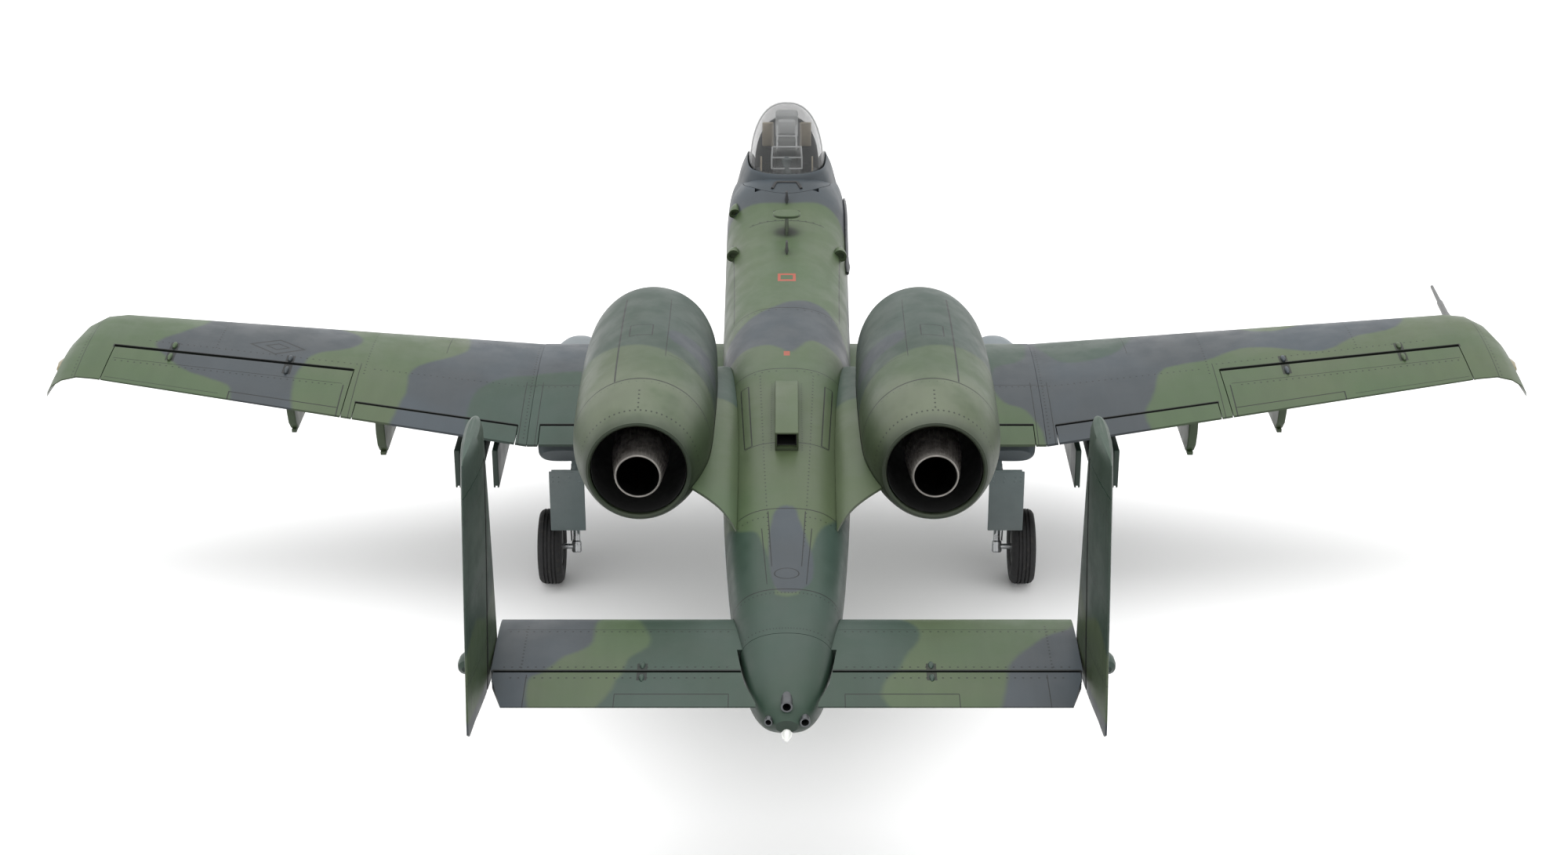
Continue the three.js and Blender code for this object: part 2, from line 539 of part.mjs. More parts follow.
// The tailplane and the elevators keep outside these [x, s] points, a little clear of the tail cone.
const CONE_SIDE = [
  [0.475, TAIL_JOINT - SEAM / M], [0.43, 15.37], [0.395, 15.6], [0.29, 15.9], [0.26, 16.5],
];
const besideCone = planPrism([...CONE_SIDE, ...CONE_SIDE.map(([x, s]) => [-x, s]).reverse()], 1, 3);
const ELEVATOR = {
  root: 0.25, x0: 0.435, x1: 2.77, cut: 2.6, s: 15.41, z: TAIL_Z, radius: 0.043 * M, far: 16.1 };
for (const side of SIDES) {
  const sign = sideSign[side];
  const [xa, xb] = [ELEVATOR.x0 * sign, ELEVATOR.x1 * sign].sort((a, b) => a - b);
  const [xRoot, xEnd] = [ELEVATOR.root * sign, ELEVATOR.x1 * sign].sort((a, b) => a - b);
  const bay = behindHinge(xRoot, ELEVATOR.s, xEnd, ELEVATOR.s, ELEVATOR.far + 0.4);
  const [, elevator] = cutSurface(tailWhole, levelHinge(xa, xb, ELEVATOR), bay);
  const cornerStart = ELEVATOR.s + 0.07;
  const corner = planPrism([
    [sign * ELEVATOR.x1, cornerStart], [sign * ELEVATOR.cut, ELEVATOR.far],
    [sign * FIN_X, ELEVATOR.far], [sign * FIN_X, cornerStart],
  ], 1, 3);
  piece(`elevator_${side}`, elevator.subtract(corner).subtract(besideCone), skin);
}
const tailCove = bar(at(-3, ELEVATOR.s, TAIL_Z), at(3, ELEVATOR.s, TAIL_Z), ELEVATOR.radius + HINGE_GAP,
  ELEVATOR.radius + HINGE_GAP, 24);
const behindTail = box(-3, 3, ELEVATOR.s - LIP / M, 16.5, 1, 3);
piece("tailplane", tailWhole.subtract(besideCone).subtract(tailCove).subtract(behindTail), skin);

// The fin as a stack of level sections, [z, leading edge, trailing edge, thickness share]; its top
// leans inwards.
const FIN = [
  [1.8, 14.28, 16.14, 0.07], [1.86, 14.26, 16.22, 0.115], [2.0, 14.3, 16.22, 0.12], [4.1, 14.74, 15.99, 0.15],
  [4.36, 14.79, 15.95, 0.15], [4.44, 14.83, 15.93, 0.12], [4.47, 14.92, 15.87, 0.07],
];
function finRing([z, lead, trail, thick], x) {
  return sectionRing([0, lead, trail, 0, thick, 0]).map((p) => {
    const across = p.z - zOf(0) - FIN_LEAN * M * lineAt([1.8, 0], [4.47, 1], z);
    return new THREE.Vector3(x * M + across, p.y, zOf(z));
  });
}
const RUDDER_TOP = 4.14;
const rudderLine = (z) => lineAt([2.05, 15.4], [4.2, 15.12], z);
const rudderPrism = (gap, lead) => {
  const g = gap / M;
  const l = lead / M;
  return sidePrism([
    [rudderLine(1.6) - l, 1.6], [rudderLine(RUDDER_TOP) - l, RUDDER_TOP - g],
    [16.6, RUDDER_TOP - g], [16.6, 1.6],
  ], 2, 4);
};
const rudderHinge = {
  a: at(FIN_X + 0.004, rudderLine(1.6), 1.6),
  b: at(FIN_X - 0.044, rudderLine(RUDDER_TOP), RUDDER_TOP),
  ra: 0.072 * M,
  rb: 0.05 * M,
};
const finWhole = loft(FIN.map((row) => finRing(row, FIN_X)));
const [fin, rudder] = cutSurface(finWhole, rudderHinge, rudderPrism, WIDE_LIP);
const belowFin = box(2, 4, 14, 17, 0, 1.8);
pair("fin", fin, skin);
pair("rudder", rudder.subtract(belowFin), skin);

// ---------- fuselage pieces ----------

const SILL = 2.62; // the hatch parts from the fuselage at this height
const HATCH_S = [1.9, 4.62];
const HATCH_HALF = 0.58;
const HATCH_BEND = 3.92; // the seam starts to curve inwards here
function hatchRegion(gap) {
  const g = gap / M;
  const outline = [[-HATCH_HALF - 0.3 - g, HATCH_S[0]], [-HATCH_HALF - 0.3 - g, HATCH_BEND - 0.2]];
  const END_STEPS = 8;
  for (let i = 0; i <= END_STEPS; i++) {
    const angle = Math.PI * (1 - i / END_STEPS);
    const reach = HATCH_S[1] - HATCH_BEND + g;
    outline.push([(HATCH_HALF + g) * Math.cos(angle), HATCH_BEND + reach * Math.sin(angle)]);
  }
  outline.push([HATCH_HALF + 0.3 + g, HATCH_BEND - 0.2], [HATCH_HALF + 0.3 + g, HATCH_S[0]]);
  return planPrism(outline, SILL - g, 4);
}
const noseBay = box(0.11, 0.45, 1.14, 3.24, 0, 1.58);
const batteryBay = box(-0.42, 0.42, 2.15, 6.2, 1.72, 2.5).add(box(-0.42, 0.42, 2.15, 4.5, 2.3, 3.4));
const REAR_WALL = 17; // thickness of the hollow rear fuselage's skin, in millimetres
const rearHollow = fuselageBetween(9.5, TAIL_JOINT + 0.1, -REAR_WALL);
const tailSlot = wingLoft(reaching(tailSections, 1), SEAM)
  .intersect(box(-1, 1, 14, TAIL_JOINT + 0.3, 1.5, 2.5));
const wingSlot = wingLoft(reaching(centreSections, 1.1), SEAM);
const bodyWhole = fuselageBetween(NOSE_JOINT + SEAM / M, TAIL_JOINT - SEAM / M);
const fuselage = bodyWhole.subtract(hatchRegion(SEAM)).subtract(noseBay).subtract(batteryBay)
  .subtract(rearHollow).subtract(tailSlot).subtract(wingSlot);
piece("fuselage", fuselage, skin);
piece("wing_center", wingCentre.subtract(sparHole), skin);
piece("tail_cone", fuselageBetween(TAIL_JOINT, 16.06), darkSkin);

const GUN = { z: 1.46, bore: 0.135 };
const gunTunnel = bar(at(0, 0.1, GUN.z), at(0, 0.92, GUN.z), GUN.bore * M, GUN.bore * M, 20);
piece("nose_cap", fuselageBetween(0.3, NOSE_JOINT).subtract(gunTunnel), greySkin);
const BARRELS = 7;
let gun = bar(at(0, 0.72, GUN.z), at(0, 0.9, GUN.z), 0.118 * M, 0.118 * M, 16)
  .add(bar(at(0, 0.2, GUN.z), at(0, 0.8, GUN.z), 0.03 * M, 0.03 * M, 8))
  .add(bar(at(0, 0.16, GUN.z), at(0, 0.22, GUN.z), 0.115 * M, 0.115 * M, 16));
for (let i = 0; i < BARRELS; i++) {
  const angle = (2 * Math.PI * i) / BARRELS;
  const [x, z] = [0.08 * Math.cos(angle), GUN.z + 0.08 * Math.sin(angle)];
  gun = gun.add(bar(at(x, 0.04, z), at(x, 0.8, z), 0.022 * M, 0.022 * M, 6));
}
piece("gun_barrels", gun, metal);

// ---------- hatch: frame, canopy, cockpit tub and seat ----------

// [s, half width, top]
const CANOPY = [
  [1.92, 0.28, 2.72], [2.2, 0.41, 3.22], [2.6, 0.49, 3.66], [3.0, 0.52, 3.9], [3.3, 0.53, 3.95],
  [3.65, 0.52, 3.85],
  [3.9, 0.49, 3.66], [4.08, 0.42, 3.44], [4.18, 0.34, 3.22],
];
const CANOPY_WAIST = 2.98; // above this the glass rounds over
const CANOPY_BASE = 2.5;
const GLASS = 0.016;
const CANOPY_POINTS = 10;
function canopyRing([s, half, top], inset) {
  const waist = Math.min(CANOPY_WAIST, top - 0.2);
  const arch = Array.from({ length: CANOPY_POINTS + 1 }, (_, k) => {
    const angle = (Math.PI * k) / CANOPY_POINTS;
    const height = top - inset - waist;
    const x = (half - inset) * powered(Math.cos(angle), 2.4);
    return at(x, s, waist + height * powered(Math.sin(angle), 2.2));
  });
  return [...arch, at(-half + inset, s, CANOPY_BASE - inset), at(half - inset, s, CANOPY_BASE - inset)];
}
const CANOPY_ENDS = [1.92, 4.18];
const canopyStations = [2.06, 2.2, 2.4, 2.6, 2.8, 3.0, 3.3, 3.6, 3.8, 3.95, 4.08];
const canopyAt = (s) => [s, ...tableAt(CANOPY, s)];
const dome = (inset) => loft([CANOPY_ENDS[0] + inset, ...canopyStations, CANOPY_ENDS[1] - inset]
  .map((s) => canopyRing(canopyAt(s), inset)));
const glass = dome(0).subtract(dome(GLASS)).subtract(fuselageBetween(1.5, 5.5, SEAM));
piece("canopy_glass", glass, clear);

const COCKPIT = { s: 3.2, halfWidth: 0.37, halfLength: 0.8, steps: 20 };
function cockpitHole(grow) {
  return Array.from({ length: COCKPIT.steps }, (_, i) => {
    const angle = (2 * Math.PI * i) / COCKPIT.steps;
    const x = (COCKPIT.halfWidth + grow) * powered(Math.cos(angle), 3);
    return [x, COCKPIT.s + (COCKPIT.halfLength + grow) * powered(Math.sin(angle), 3)];
  });
}
const frameWhole = bodyWhole.intersect(hatchRegion(0)).subtract(planPrism(cockpitHole(0), 2, 4));
piece("hatch_frame", frameWhole, greySkin);
const TUB_GAP = -SEAM / M;
const tub = planPrism(cockpitHole(TUB_GAP), 2.16, 2.74).subtract(planPrism(cockpitHole(-0.035), 2.2, 3))
  .add(box(-0.2, 0.2, 2.52, 2.68, 2.18, 3.02));
piece("cockpit_tub", tub, cockpitGrey);
const seat = box(-0.17, 0.17, 3.3, 3.82, 2.2 + SEAM / M, 2.5)
  .add(box(-0.19, 0.19, 3.62, 3.82, 2.4, 3.42))
  .add(box(-0.13, 0.13, 3.6, 3.84, 3.36, 3.6));
piece("pilot_seat", seat, cockpitGrey);

// ---------- engine pylons ----------

const pylonSections = [
  [0.3, 8.75, 13.22, 2.16, 0.06, 0.02],
  [0.46, 8.85, 13.1, 2.28, 0.06, 0.02],
  [0.57, 8.95, 12.94, 2.42, 0.065, 0.02],
  [0.7, 9.05, 12.75, 2.5, 0.07, 0.02],
  [0.97, 9.25, 12.45, 2.56, 0.08, 0.02],
  [1.35, 9.4, 12.2, 2.66, 0.09, 0.02],
];
const nacelleShadow = NACELLE_OUTER.map(([s, r]) => [s, r + SEAM / M]);
const nacelleSolid = turnedAlongY(
  [[8.4, 0], ...nacelleShadow, [12.9, 0.5], [12.9, 0]], ENGINE.x, ENGINE.z, NACELLE_SIDES);
const fuselageCutter = fuselageBetween(7, 14.5, SEAM);
pair("engine_pylon", wingLoft(pylonSections).subtract(fuselageCutter).subtract(nacelleSolid), skin);

// ---------- spine ----------

const duct = sidePrism([[10.12, 2.6], [10.12, 2.8], [10.5, 2.91], [11.7, 2.87], [11.7, 2.5]], -0.125, 0.125)
  .subtract(box(-0.09, 0.09, 11.1, 11.9, 2.715, 2.835)).subtract(fuselageBetween(9, 12.9, SEAM));
piece("dorsal_duct", duct, skin);
const antenna = sidePrism([[5.42, 2.8], [5.54, 3.2], [5.7, 3.2], [5.76, 2.8]], -0.025, 0.025)
  .add(box(-0.175, 0.175, 5.5, 5.76, 3.18, 3.22)).subtract(fuselageBetween(4, 7, SEAM));
piece("blade_antenna", antenna, skin);

// ---------- underwing pylons ----------

const AILERON_SWING = { s: 7.84, z: 1.78 }; // the outer pylon steps down here, under the turning aileron
function underwing(x, s0, s1, bottom, half) {
  const top = 2.6;
  return sidePrism([
    [s0, top], [s1, top], [s1, bottom + 0.3], [s1 - 0.18, bottom], [s0 + 0.3, bottom], [s0, bottom + 0.22],
  ], x - half, x + half);
}
// The panel's form repeated upwards, so that nothing is left above the wing.
const panelRaised = (rise) => wingLoft(panelSections.slice(0, 3)
  .map(([x, lead, trail, z, ...rest]) => [x, lead, trail, z + rise, ...rest]), SEAM);
const panelShadow = panelRaised(0).add(panelRaised(0.3)).add(panelRaised(0.6));
const underPanel = (made, x, height) =>
  made.subtract(panelShadow).subtract(box(x - 0.5, x + 0.5, 5, 10, height, 4));
const outerPylon = underwing(6.02, 6.85, 8.02, 1.2, 0.05)
  .subtract(box(5.9, 6.2, AILERON_SWING.s, 8.3, AILERON_SWING.z, 4));
pair("pylon_outer", underPanel(outerPylon, 6.02, 1.95), skin);
pair("pylon_middle", underPanel(underwing(4.88, 6.7, 8.42, 1.08, 0.055), 4.88, 1.78), skin);
const RACK = { x: 3.76, z: 0.98, s0: 6.7, s1: 8.2 };
const rack = box(RACK.x - 0.09, RACK.x + 0.09, RACK.s0, RACK.s1, RACK.z - 0.1, RACK.z + 0.12);
const rails = [-0.23, 0.23].map((dx) => {
  const rail = box(RACK.x + dx - 0.035, RACK.x + dx + 0.035, RACK.s0 + 0.1, RACK.s1 + 0.12,
    RACK.z - 0.36, RACK.z + 0.14);
  const arm = box(RACK.x + Math.min(dx, 0), RACK.x + Math.max(dx, 0), 7.3, 7.5, RACK.z - 0.02, RACK.z + 0.06);
  return rail.add(arm);
});
const innerPylon = underPanel(underwing(RACK.x, 6.35, 8.0, RACK.z + 0.08, 0.055), RACK.x, 1.62);
pair("pylon_inner", rails.reduce((sum, rail) => sum.add(rail), innerPylon.add(rack)), greySkin);

// ---------- inside the fuselage ----------

piece("battery_pack", box(-0.33, 0.33, 2.36, 4.2, 1.72 + SEAM / M, 2.1), paint(0x2d4f8f, 0.5));
piece("receiver", box(-0.2, 0.2, 4.9, 5.7, 1.72 + SEAM / M, 1.9), black);

export default model;
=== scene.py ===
# The looks of a twin-engine ducted-fan model aeroplane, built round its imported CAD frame.
# Metres. +X is the right wing, +Y the nose, +Z up. Places on the airframe are written in metres of the
# full-size aeroplane: x from the centreline, s aft from the nose and z above the fuselage datum.
import math

import bmesh
import bpy
import numpy as np
from mathutils import Matrix, Vector


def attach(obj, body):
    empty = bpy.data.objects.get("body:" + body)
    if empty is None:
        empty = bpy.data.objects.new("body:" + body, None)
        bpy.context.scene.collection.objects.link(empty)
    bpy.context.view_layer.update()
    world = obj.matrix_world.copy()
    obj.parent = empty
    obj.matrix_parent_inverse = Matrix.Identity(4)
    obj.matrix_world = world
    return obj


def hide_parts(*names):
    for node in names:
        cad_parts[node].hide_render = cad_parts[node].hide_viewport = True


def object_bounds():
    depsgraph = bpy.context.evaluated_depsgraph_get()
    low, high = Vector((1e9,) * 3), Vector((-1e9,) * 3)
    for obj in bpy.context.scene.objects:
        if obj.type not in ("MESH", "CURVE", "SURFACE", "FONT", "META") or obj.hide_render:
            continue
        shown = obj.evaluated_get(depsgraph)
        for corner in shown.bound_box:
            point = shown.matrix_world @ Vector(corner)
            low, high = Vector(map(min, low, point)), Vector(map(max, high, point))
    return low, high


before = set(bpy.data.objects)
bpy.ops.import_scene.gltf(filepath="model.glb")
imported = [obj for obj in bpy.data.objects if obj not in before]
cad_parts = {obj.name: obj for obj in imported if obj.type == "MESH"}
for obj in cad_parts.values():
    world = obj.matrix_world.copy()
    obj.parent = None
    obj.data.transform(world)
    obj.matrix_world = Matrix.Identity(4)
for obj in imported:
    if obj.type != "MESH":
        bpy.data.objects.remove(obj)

cad_low, cad_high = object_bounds()

FULL_SIZE_SPAN = 17.53
FULL_SIZE_LENGTH = 16.26
GROUND = 0.58  # the ground lies this far below the datum
M = (cad_high.x - cad_low.x) / FULL_SIZE_SPAN
LENGTH = FULL_SIZE_LENGTH * M
MM = 0.001
SEAM = 0.5 * MM  # between solids that are glued together
HINGE_GAP = 0.9 * MM
LIP, WIDE_LIP = 2.6 * MM, 4.4 * MM  # how far a bay reaches ahead of its hinge line
SIDES = {"left": -1, "right": 1}
AFT = (0, -1, 0)


def at(x, s, z):
    return Vector((x * M, LENGTH / 2 - s * M, (z + GROUND) * M))


def spread(low, high, count, closed=True):
    """Evenly spaced numbers from low to high; an open run leaves high out."""
    return [float(v) for v in np.linspace(low, high, count, endpoint=closed)]


def full_size(points):
    """Model points as rows of x, s, z."""
    p = np.asarray(points, float)
    return np.stack([p[:, 0] / M, (LENGTH / 2 - p[:, 1]) / M, p[:, 2] / M - GROUND], 1)


# ---------- shapes ----------


def shape(name, points, faces):
    mesh = bpy.data.meshes.new(name)
    mesh.from_pydata([tuple(p) for p in points], [], faces)
    tidy = bmesh.new()
    tidy.from_mesh(mesh)
    bmesh.ops.recalc_face_normals(tidy, faces=tidy.faces)
    tidy.to_mesh(mesh)
    tidy.free()
    obj = bpy.data.objects.new(name, mesh)
    bpy.context.scene.collection.objects.link(obj)
    return obj


def loft(rings, name="part"):
    """A closed skin through rings of points, each with the same count, with a fan at both ends."""
    n = len(rings[0])
    points = [p for ring in rings for p in ring]
    faces = []
    for i in range(len(rings) - 1):
        for k in range(n):
            a, b = i * n + k, i * n + (k + 1) % n
            faces.append((a, b, b + n, a + n))
    for first in (0, (len(rings) - 1) * n):
        points.append(sum((Vector(p) for p in points[first:first + n]), Vector()) / n)
        faces += [(len(points) - 1, first + k, first + (k + 1) % n) for k in range(n)]
    return shape(name, points, faces)


def across(direction):
    """Two unit vectors at right angles to a direction."""
    d = Vector(direction).normalized()
    side = d.cross(Vector((0, 0, 1)) if abs(d.z) < 0.9 else Vector((1, 0, 0))).normalized()
    return side, d.cross(side)


def rod(points, radii, sides=24):
    """A round bar along points, each with its own radius in metres."""
    points = [Vector(p) for p in points]
    rings = []
    for i, p in enumerate(points):
        u, v = across(points[min(i + 1, len(points) - 1)] - points[max(i - 1, 0)])
        if rings and u.dot(last) < 0:
            u, v = -u, -v
        last = u
        turn = [2 * math.pi * k / sides for k in range(sides)]
        rings.append([p + radii[i] * (math.cos(a) * u + math.sin(a) * v) for a in turn])
    return loft(rings, "rod")


def tube(rows, sides=24):
    """A round bar through rows of x, s, z and radius in full-size metres."""
    return rod([at(*row[:3]) for row in rows], [row[3] * M for row in rows], sides)


def drill(a, b, radius, sides=24):
    """A flat-ended round bar between two model points, of a full-size radius, to cut a hole with."""
    return rod([a, b], [radius * M] * 2, sides)


def bar(a, b, ra, rb=None, sides=32):
    """A round bar with softly rounded ends."""
    rb = ra if rb is None else rb
    a, b = Vector(a), Vector(b)
    d = (b - a).normalized()
    soft = 0.18 * min(ra, rb)
    return rod([a, a + d * soft, b - d * soft, b], [ra - soft, ra, rb, rb - soft], sides)


def block(x0, x1, s0, s1, z0, z1, bevel=0.0):
    low, high = at(x0, s1, z0), at(x1, s0, z1)
    corners = [(x, y, z) for x in (low.x, high.x) for y in (low.y, high.y) for z in (low.z, high.z)]
    obj = shape("block", corners, [(0, 1, 3, 2), (4, 6, 7, 5), (0, 4, 5, 1), (2, 3, 7, 6), (0, 2, 6, 4),
                                   (1, 5, 7, 3)])
    return rounded(obj, bevel) if bevel else obj


def prism(outline, low, high):
    """A plan or side outline between two faces: low and high turn an outline point into a model point."""
    return shape("prism", [low(*p) for p in outline] + [high(*p) for p in outline],
                 [tuple(range(len(outline))), tuple(range(len(outline), 2 * len(outline)))]
                 + [(k, (k + 1) % len(outline), (k + 1) % len(outline) + len(outline), k + len(outline))
                    for k in range(len(outline))])


def plan_prism(outline, z0, z1):
    return prism(outline, lambda x, s: at(x, s, z0), lambda x, s: at(x, s, z1))


def side_prism(outline, x0, x1):
    return prism(outline, lambda s, z: at(x0, s, z), lambda s, z: at(x1, s, z))


def turned(profile, centre, axis, sides=96, closed=True):
    """A profile of (along, radius) in full-size metres turned round an axis through centre."""
    along = Vector(axis).normalized()
    u, v = across(along)
    rings = [[centre + along * (a * M) + (r * M) * (math.cos(t) * u + math.sin(t) * v)
              for t in spread(0, 2 * math.pi, sides, False)] for a, r in profile]
    if not closed:
        return loft(rings, "turned")
    n, m = sides, len(rings)
    faces = [(i * n + k, i * n + (k + 1) % n, (i + 1) % m * n + (k + 1) % n, (i + 1) % m * n + k)
             for i in range(m) for k in range(n)]
    return shape("turned", [p for ring in rings for p in ring], faces)


def fine_profile(rows, step=0.05):
    """Rows of a profile with points added so that none is further than step from the next."""
    out = []
    for a, b in zip(rows, rows[1:] + rows[:1]):
        count = max(1, int(math.dist(a, b) / step))
        out += [tuple(p + (q - p) * i / count for p, q in zip(a, b)) for i in range(count)]
    return out


def discard(obj):
    mesh = obj.data
    bpy.data.objects.remove(obj)
    bpy.data.meshes.remove(mesh)


def bake_modifiers(obj):
    seen = obj.evaluated_get(bpy.context.evaluated_depsgraph_get())
    made = bpy.data.meshes.new_from_object(seen)
    obj.modifiers.clear()
    old = obj.data
    obj.data = made
    bpy.data.meshes.remove(old)
    return obj


def boolean(target, tool, operation, keep_tool=False):
    modifier = target.modifiers.new("boolean", "BOOLEAN")
    modifier.operation = operation
    modifier.solver = "MANIFOLD"
    modifier.object = tool
    bake_modifiers(target)
    if not keep_tool:
        discard(tool)
    return target


def cut(target, *tools, keep_tool=False):
    for tool in tools:
        boolean(target, tool, "DIFFERENCE", keep_tool)
    return target


def fuse(target, *tools):
    for tool in tools:
        boolean(target, tool, "UNION")
    return target


def gather(target, *others):
    """Puts separate closed bodies into one piece."""
    merged = bmesh.new()
    for obj in (target, *others):
        merged.from_mesh(obj.data)
    merged.to_mesh(target.data)
    merged.free()
    for obj in others:
        discard(obj)
    return target


def copy_of(obj):
    made = bpy.data.objects.new(obj.name, obj.data.copy())
    bpy.context.scene.collection.objects.link(made)
    return made


def rounded(obj, width, segments=3, angle=35):
    modifier = obj.modifiers.new("bevel", "BEVEL")
    modifier.width = width
    modifier.segments = segments
    modifier.limit_method = "ANGLE"
    modifier.angle_limit = math.radians(angle)
    modifier.harden_normals = False
    return bake_modifiers(obj)


def largest(obj):
    """Keeps a cut solid's biggest body."""
    work = bmesh.new()
    work.from_mesh(obj.data)
    bodies, seen = [], set()
    for start in work.verts:
        if start in seen:
            continue
        seen.add(start)
        body, front = [start], [start]
        while front:
            for edge in front.pop().link_edges:
                for v in edge.verts:
                    if v not in seen:
                        seen.add(v)
                        body.append(v)
                        front.append(v)
        bodies.append(body)
    bodies.sort(key=len)
    bmesh.ops.delete(work, geom=[v for body in bodies[:-1] for v in body], context="VERTS")
    work.to_mesh(obj.data)
    work.free()
    return obj


def mirrored(obj):
    made = copy_of(obj)
    made.data.transform(Matrix.Scale(-1, 4, (1, 0, 0)))
    made.data.flip_normals()
    return made


def table_at(rows, s):
    """A smooth curve through the rows of a table, read at the first column's value s."""
    i = min(max(next((k for k, row in enumerate(rows) if row[0] >= s), len(rows)), 1), len(rows) - 1)
    a, b = np.array(rows[i - 1]), np.array(rows[i])
    before = np.array(rows[i - 2]) if i > 1 else a
    after = np.array(rows[i + 1]) if i + 1 < len(rows) else b
    span = b[0] - a[0]
    t = min(max((s - a[0]) / span, 0), 1)
    slope_a = (b - before) / (b[0] - before[0]) * span
    slope_b = (after - a) / (after[0] - a[0]) * span
    value = ((2 * t**3 - 3 * t**2 + 1) * a + (t**3 - 2 * t**2 + t) * slope_a
             + (3 * t**2 - 2 * t**3) * b + (t**3 - t**2) * slope_b)
    return [float(v) for v in value[1:]]


def powered(value, power):
    return math.copysign(abs(value) ** (2 / power), value)


# ---------- fuselage form ----------

# s, half width, top, bottom, height of the widest line, squareness of the shoulders
FUSELAGE = [
    (0.3, 0.2, 1.66, 1.26, 1.46, 2.0), (0.6, 0.34, 1.88, 1.15, 1.5, 2.0), (1.0, 0.455, 2.1, 1.04, 1.58, 2.1),
    (1.6, 0.6, 2.4, 0.95, 1.75, 2.2), (2.2, 0.69, 2.7, 0.91, 2.05, 2.4), (3.0, 0.76, 3.0, 0.9, 2.34, 2.7),
    (4.2, 0.79, 3.22, 0.9, 2.44, 2.6), (5.0, 0.79, 3.04, 0.91, 2.3, 2.5), (6.5, 0.78, 2.92, 0.95, 2.14, 2.5),
    (9.5, 0.75, 2.83, 1.02, 2.0, 2.6), (11.0, 0.705, 2.72, 1.1, 1.98, 2.6),
    (12.5, 0.645, 2.58, 1.24, 1.98, 2.6), (14.0, 0.555, 2.4, 1.42, 1.97, 2.5),
    (15.0, 0.455, 2.27, 1.55, 1.95, 2.3), (15.6, 0.36, 2.14, 1.63, 1.92, 2.1),
    (15.9, 0.25, 2.03, 1.7, 1.88, 2.0), (16.06, 0.1, 1.92, 1.8, 1.86, 2.0),
]
BELLY_POWER = 2.8
FUSELAGE_HALF = 0.79
FUSELAGE_SIDES = 128
NOSE_JOINT = 1.0
TAIL_JOINT = 15.02


def fuselage_point(s, angle, grow=0.0):
    """The skin at s, at an angle in radians from straight up towards the right; grow is in metres."""
    half, top, bottom, wide, shoulder = table_at(FUSELAGE, s)
    up = math.cos(angle)
    power = shoulder if up > 0 else BELLY_POWER
    height = (top - wide if up > 0 else wide - bottom) + grow / M
    return at((half + grow / M) * powered(math.sin(angle), power), s, wide + height * powered(up, power))


def fuselage_between(s0, s1, grow=0.0, step=0.08):
    count = max(2, math.ceil((s1 - s0) / step))
    turn = [2 * math.pi * k / FUSELAGE_SIDES for k in range(FUSELAGE_SIDES)]
    return loft([[fuselage_point(s, angle, grow) for angle in turn]
                 for s in spread(s0, s1, count + 1)], "fuselage_form")


# ---------- wing form ----------


def half_thickness(t, chord, thick):
    """Half of a wing section's thickness at a share t of its chord, with a blunt trailing edge."""
    half = 5 * thick * chord * (
        0.2969 * math.sqrt(t) - 0.126 * t - 0.3516 * t**2 + 0.2843 * t**3 - 0.1015 * t**4)
    return half + 0.0035 * chord * t


def section(x, lead, trail, z, thick, camber, grow=0.0, steps=48):
    """A wing section's outline, from the trailing edge over the top to the trailing edge below."""
    chord, g = trail - lead, grow / M
    upper, lower = [], []
    for i in range(steps + 1):
        t = (1 - math.cos(math.pi * i / steps)) / 2
        half = half_thickness(t, chord, thick) + g
        middle = z + 4 * camber * chord * t * (1 - t)
        s = lead + chord * t + (2 * t - 1) * g
        upper.append(at(x, s, middle + half))
        if i:
            lower.append(at(x, s, middle - half))
    return upper[::-1] + lower


def wing_loft(rows, grow=0.0, step=0.12):
    rings = []
    for a, b in zip(rows, rows[1:]):
        count = max(1, round(abs(b[0] - a[0]) / step))
        rings += [section(*(np.array(a) + (np.array(b) - np.array(a)) * i / count), grow)
                  for i in range(count)]
    return loft(rings + [section(*rows[-1], grow)], "wing_form")


def cut_surface(wing, a, b, ra, rb, region, lip=LIP):
    """Cuts a control surface with a round front edge out of a wing; gives the wing and the surface."""
    d = (b - a).normalized()
    moving = copy_of(wing)
    boolean(moving, region(HINGE_GAP, 0.0), "INTERSECT")
    fuse(moving, rod([a + d * HINGE_GAP, b - d * HINGE_GAP], [ra, rb], 64))
    cut(wing, region(0.0, lip), rod([a, b], [ra + HINGE_GAP, rb + HINGE_GAP], 64))
    return largest(wing), largest(moving)


def behind_hinge(x0, s0, x1, s1, far):
    def region(gap, lead):
        g, l = gap / M, lead / M
        return plan_prism([(x0 + g, s0 - l), (x1 - g, s1 - l), (x1 - g, far), (x0 + g, far)], -1, 5)
    return region


def behind_climbing_hinge(a, b, far):
    """The region behind a hinge line between two [x, s, z] ends, with its own ends square to the hinge."""
    def region(gap, lead):
        g, l = gap / M, lead / M
        climb = (b[2] - a[2]) / (b[0] - a[0])
        rings = []
        for z in (-1, 5):
            inner, outer = a[0] + g - climb * (z - a[2]), b[0] - g - climb * (z - b[2])
            rings.append([at(x, s, z) for x, s in (
                (inner, a[1] - l), (outer, b[1] - l), (outer, far), (inner, far))])
        return loft(rings)
    return region


# ---------- camouflage fields ----------

CLEAR_OF = 0.4  # the furthest that a field reaches, in full-size metres
AROUND = math.radians(1) * 0.77  # a degree round the fuselage, and nearly one round a nacelle
OUTLINE_STEPS = 8


def between(a, b, c, d, t):
    """The curve from b to c that also heeds the points before and after them."""
    return 0.5 * (2 * b + (c - a) * t + (2 * a - 5 * b + 4 * c - d) * t**2 + (3 * b - a - 3 * c + d) * t**3)


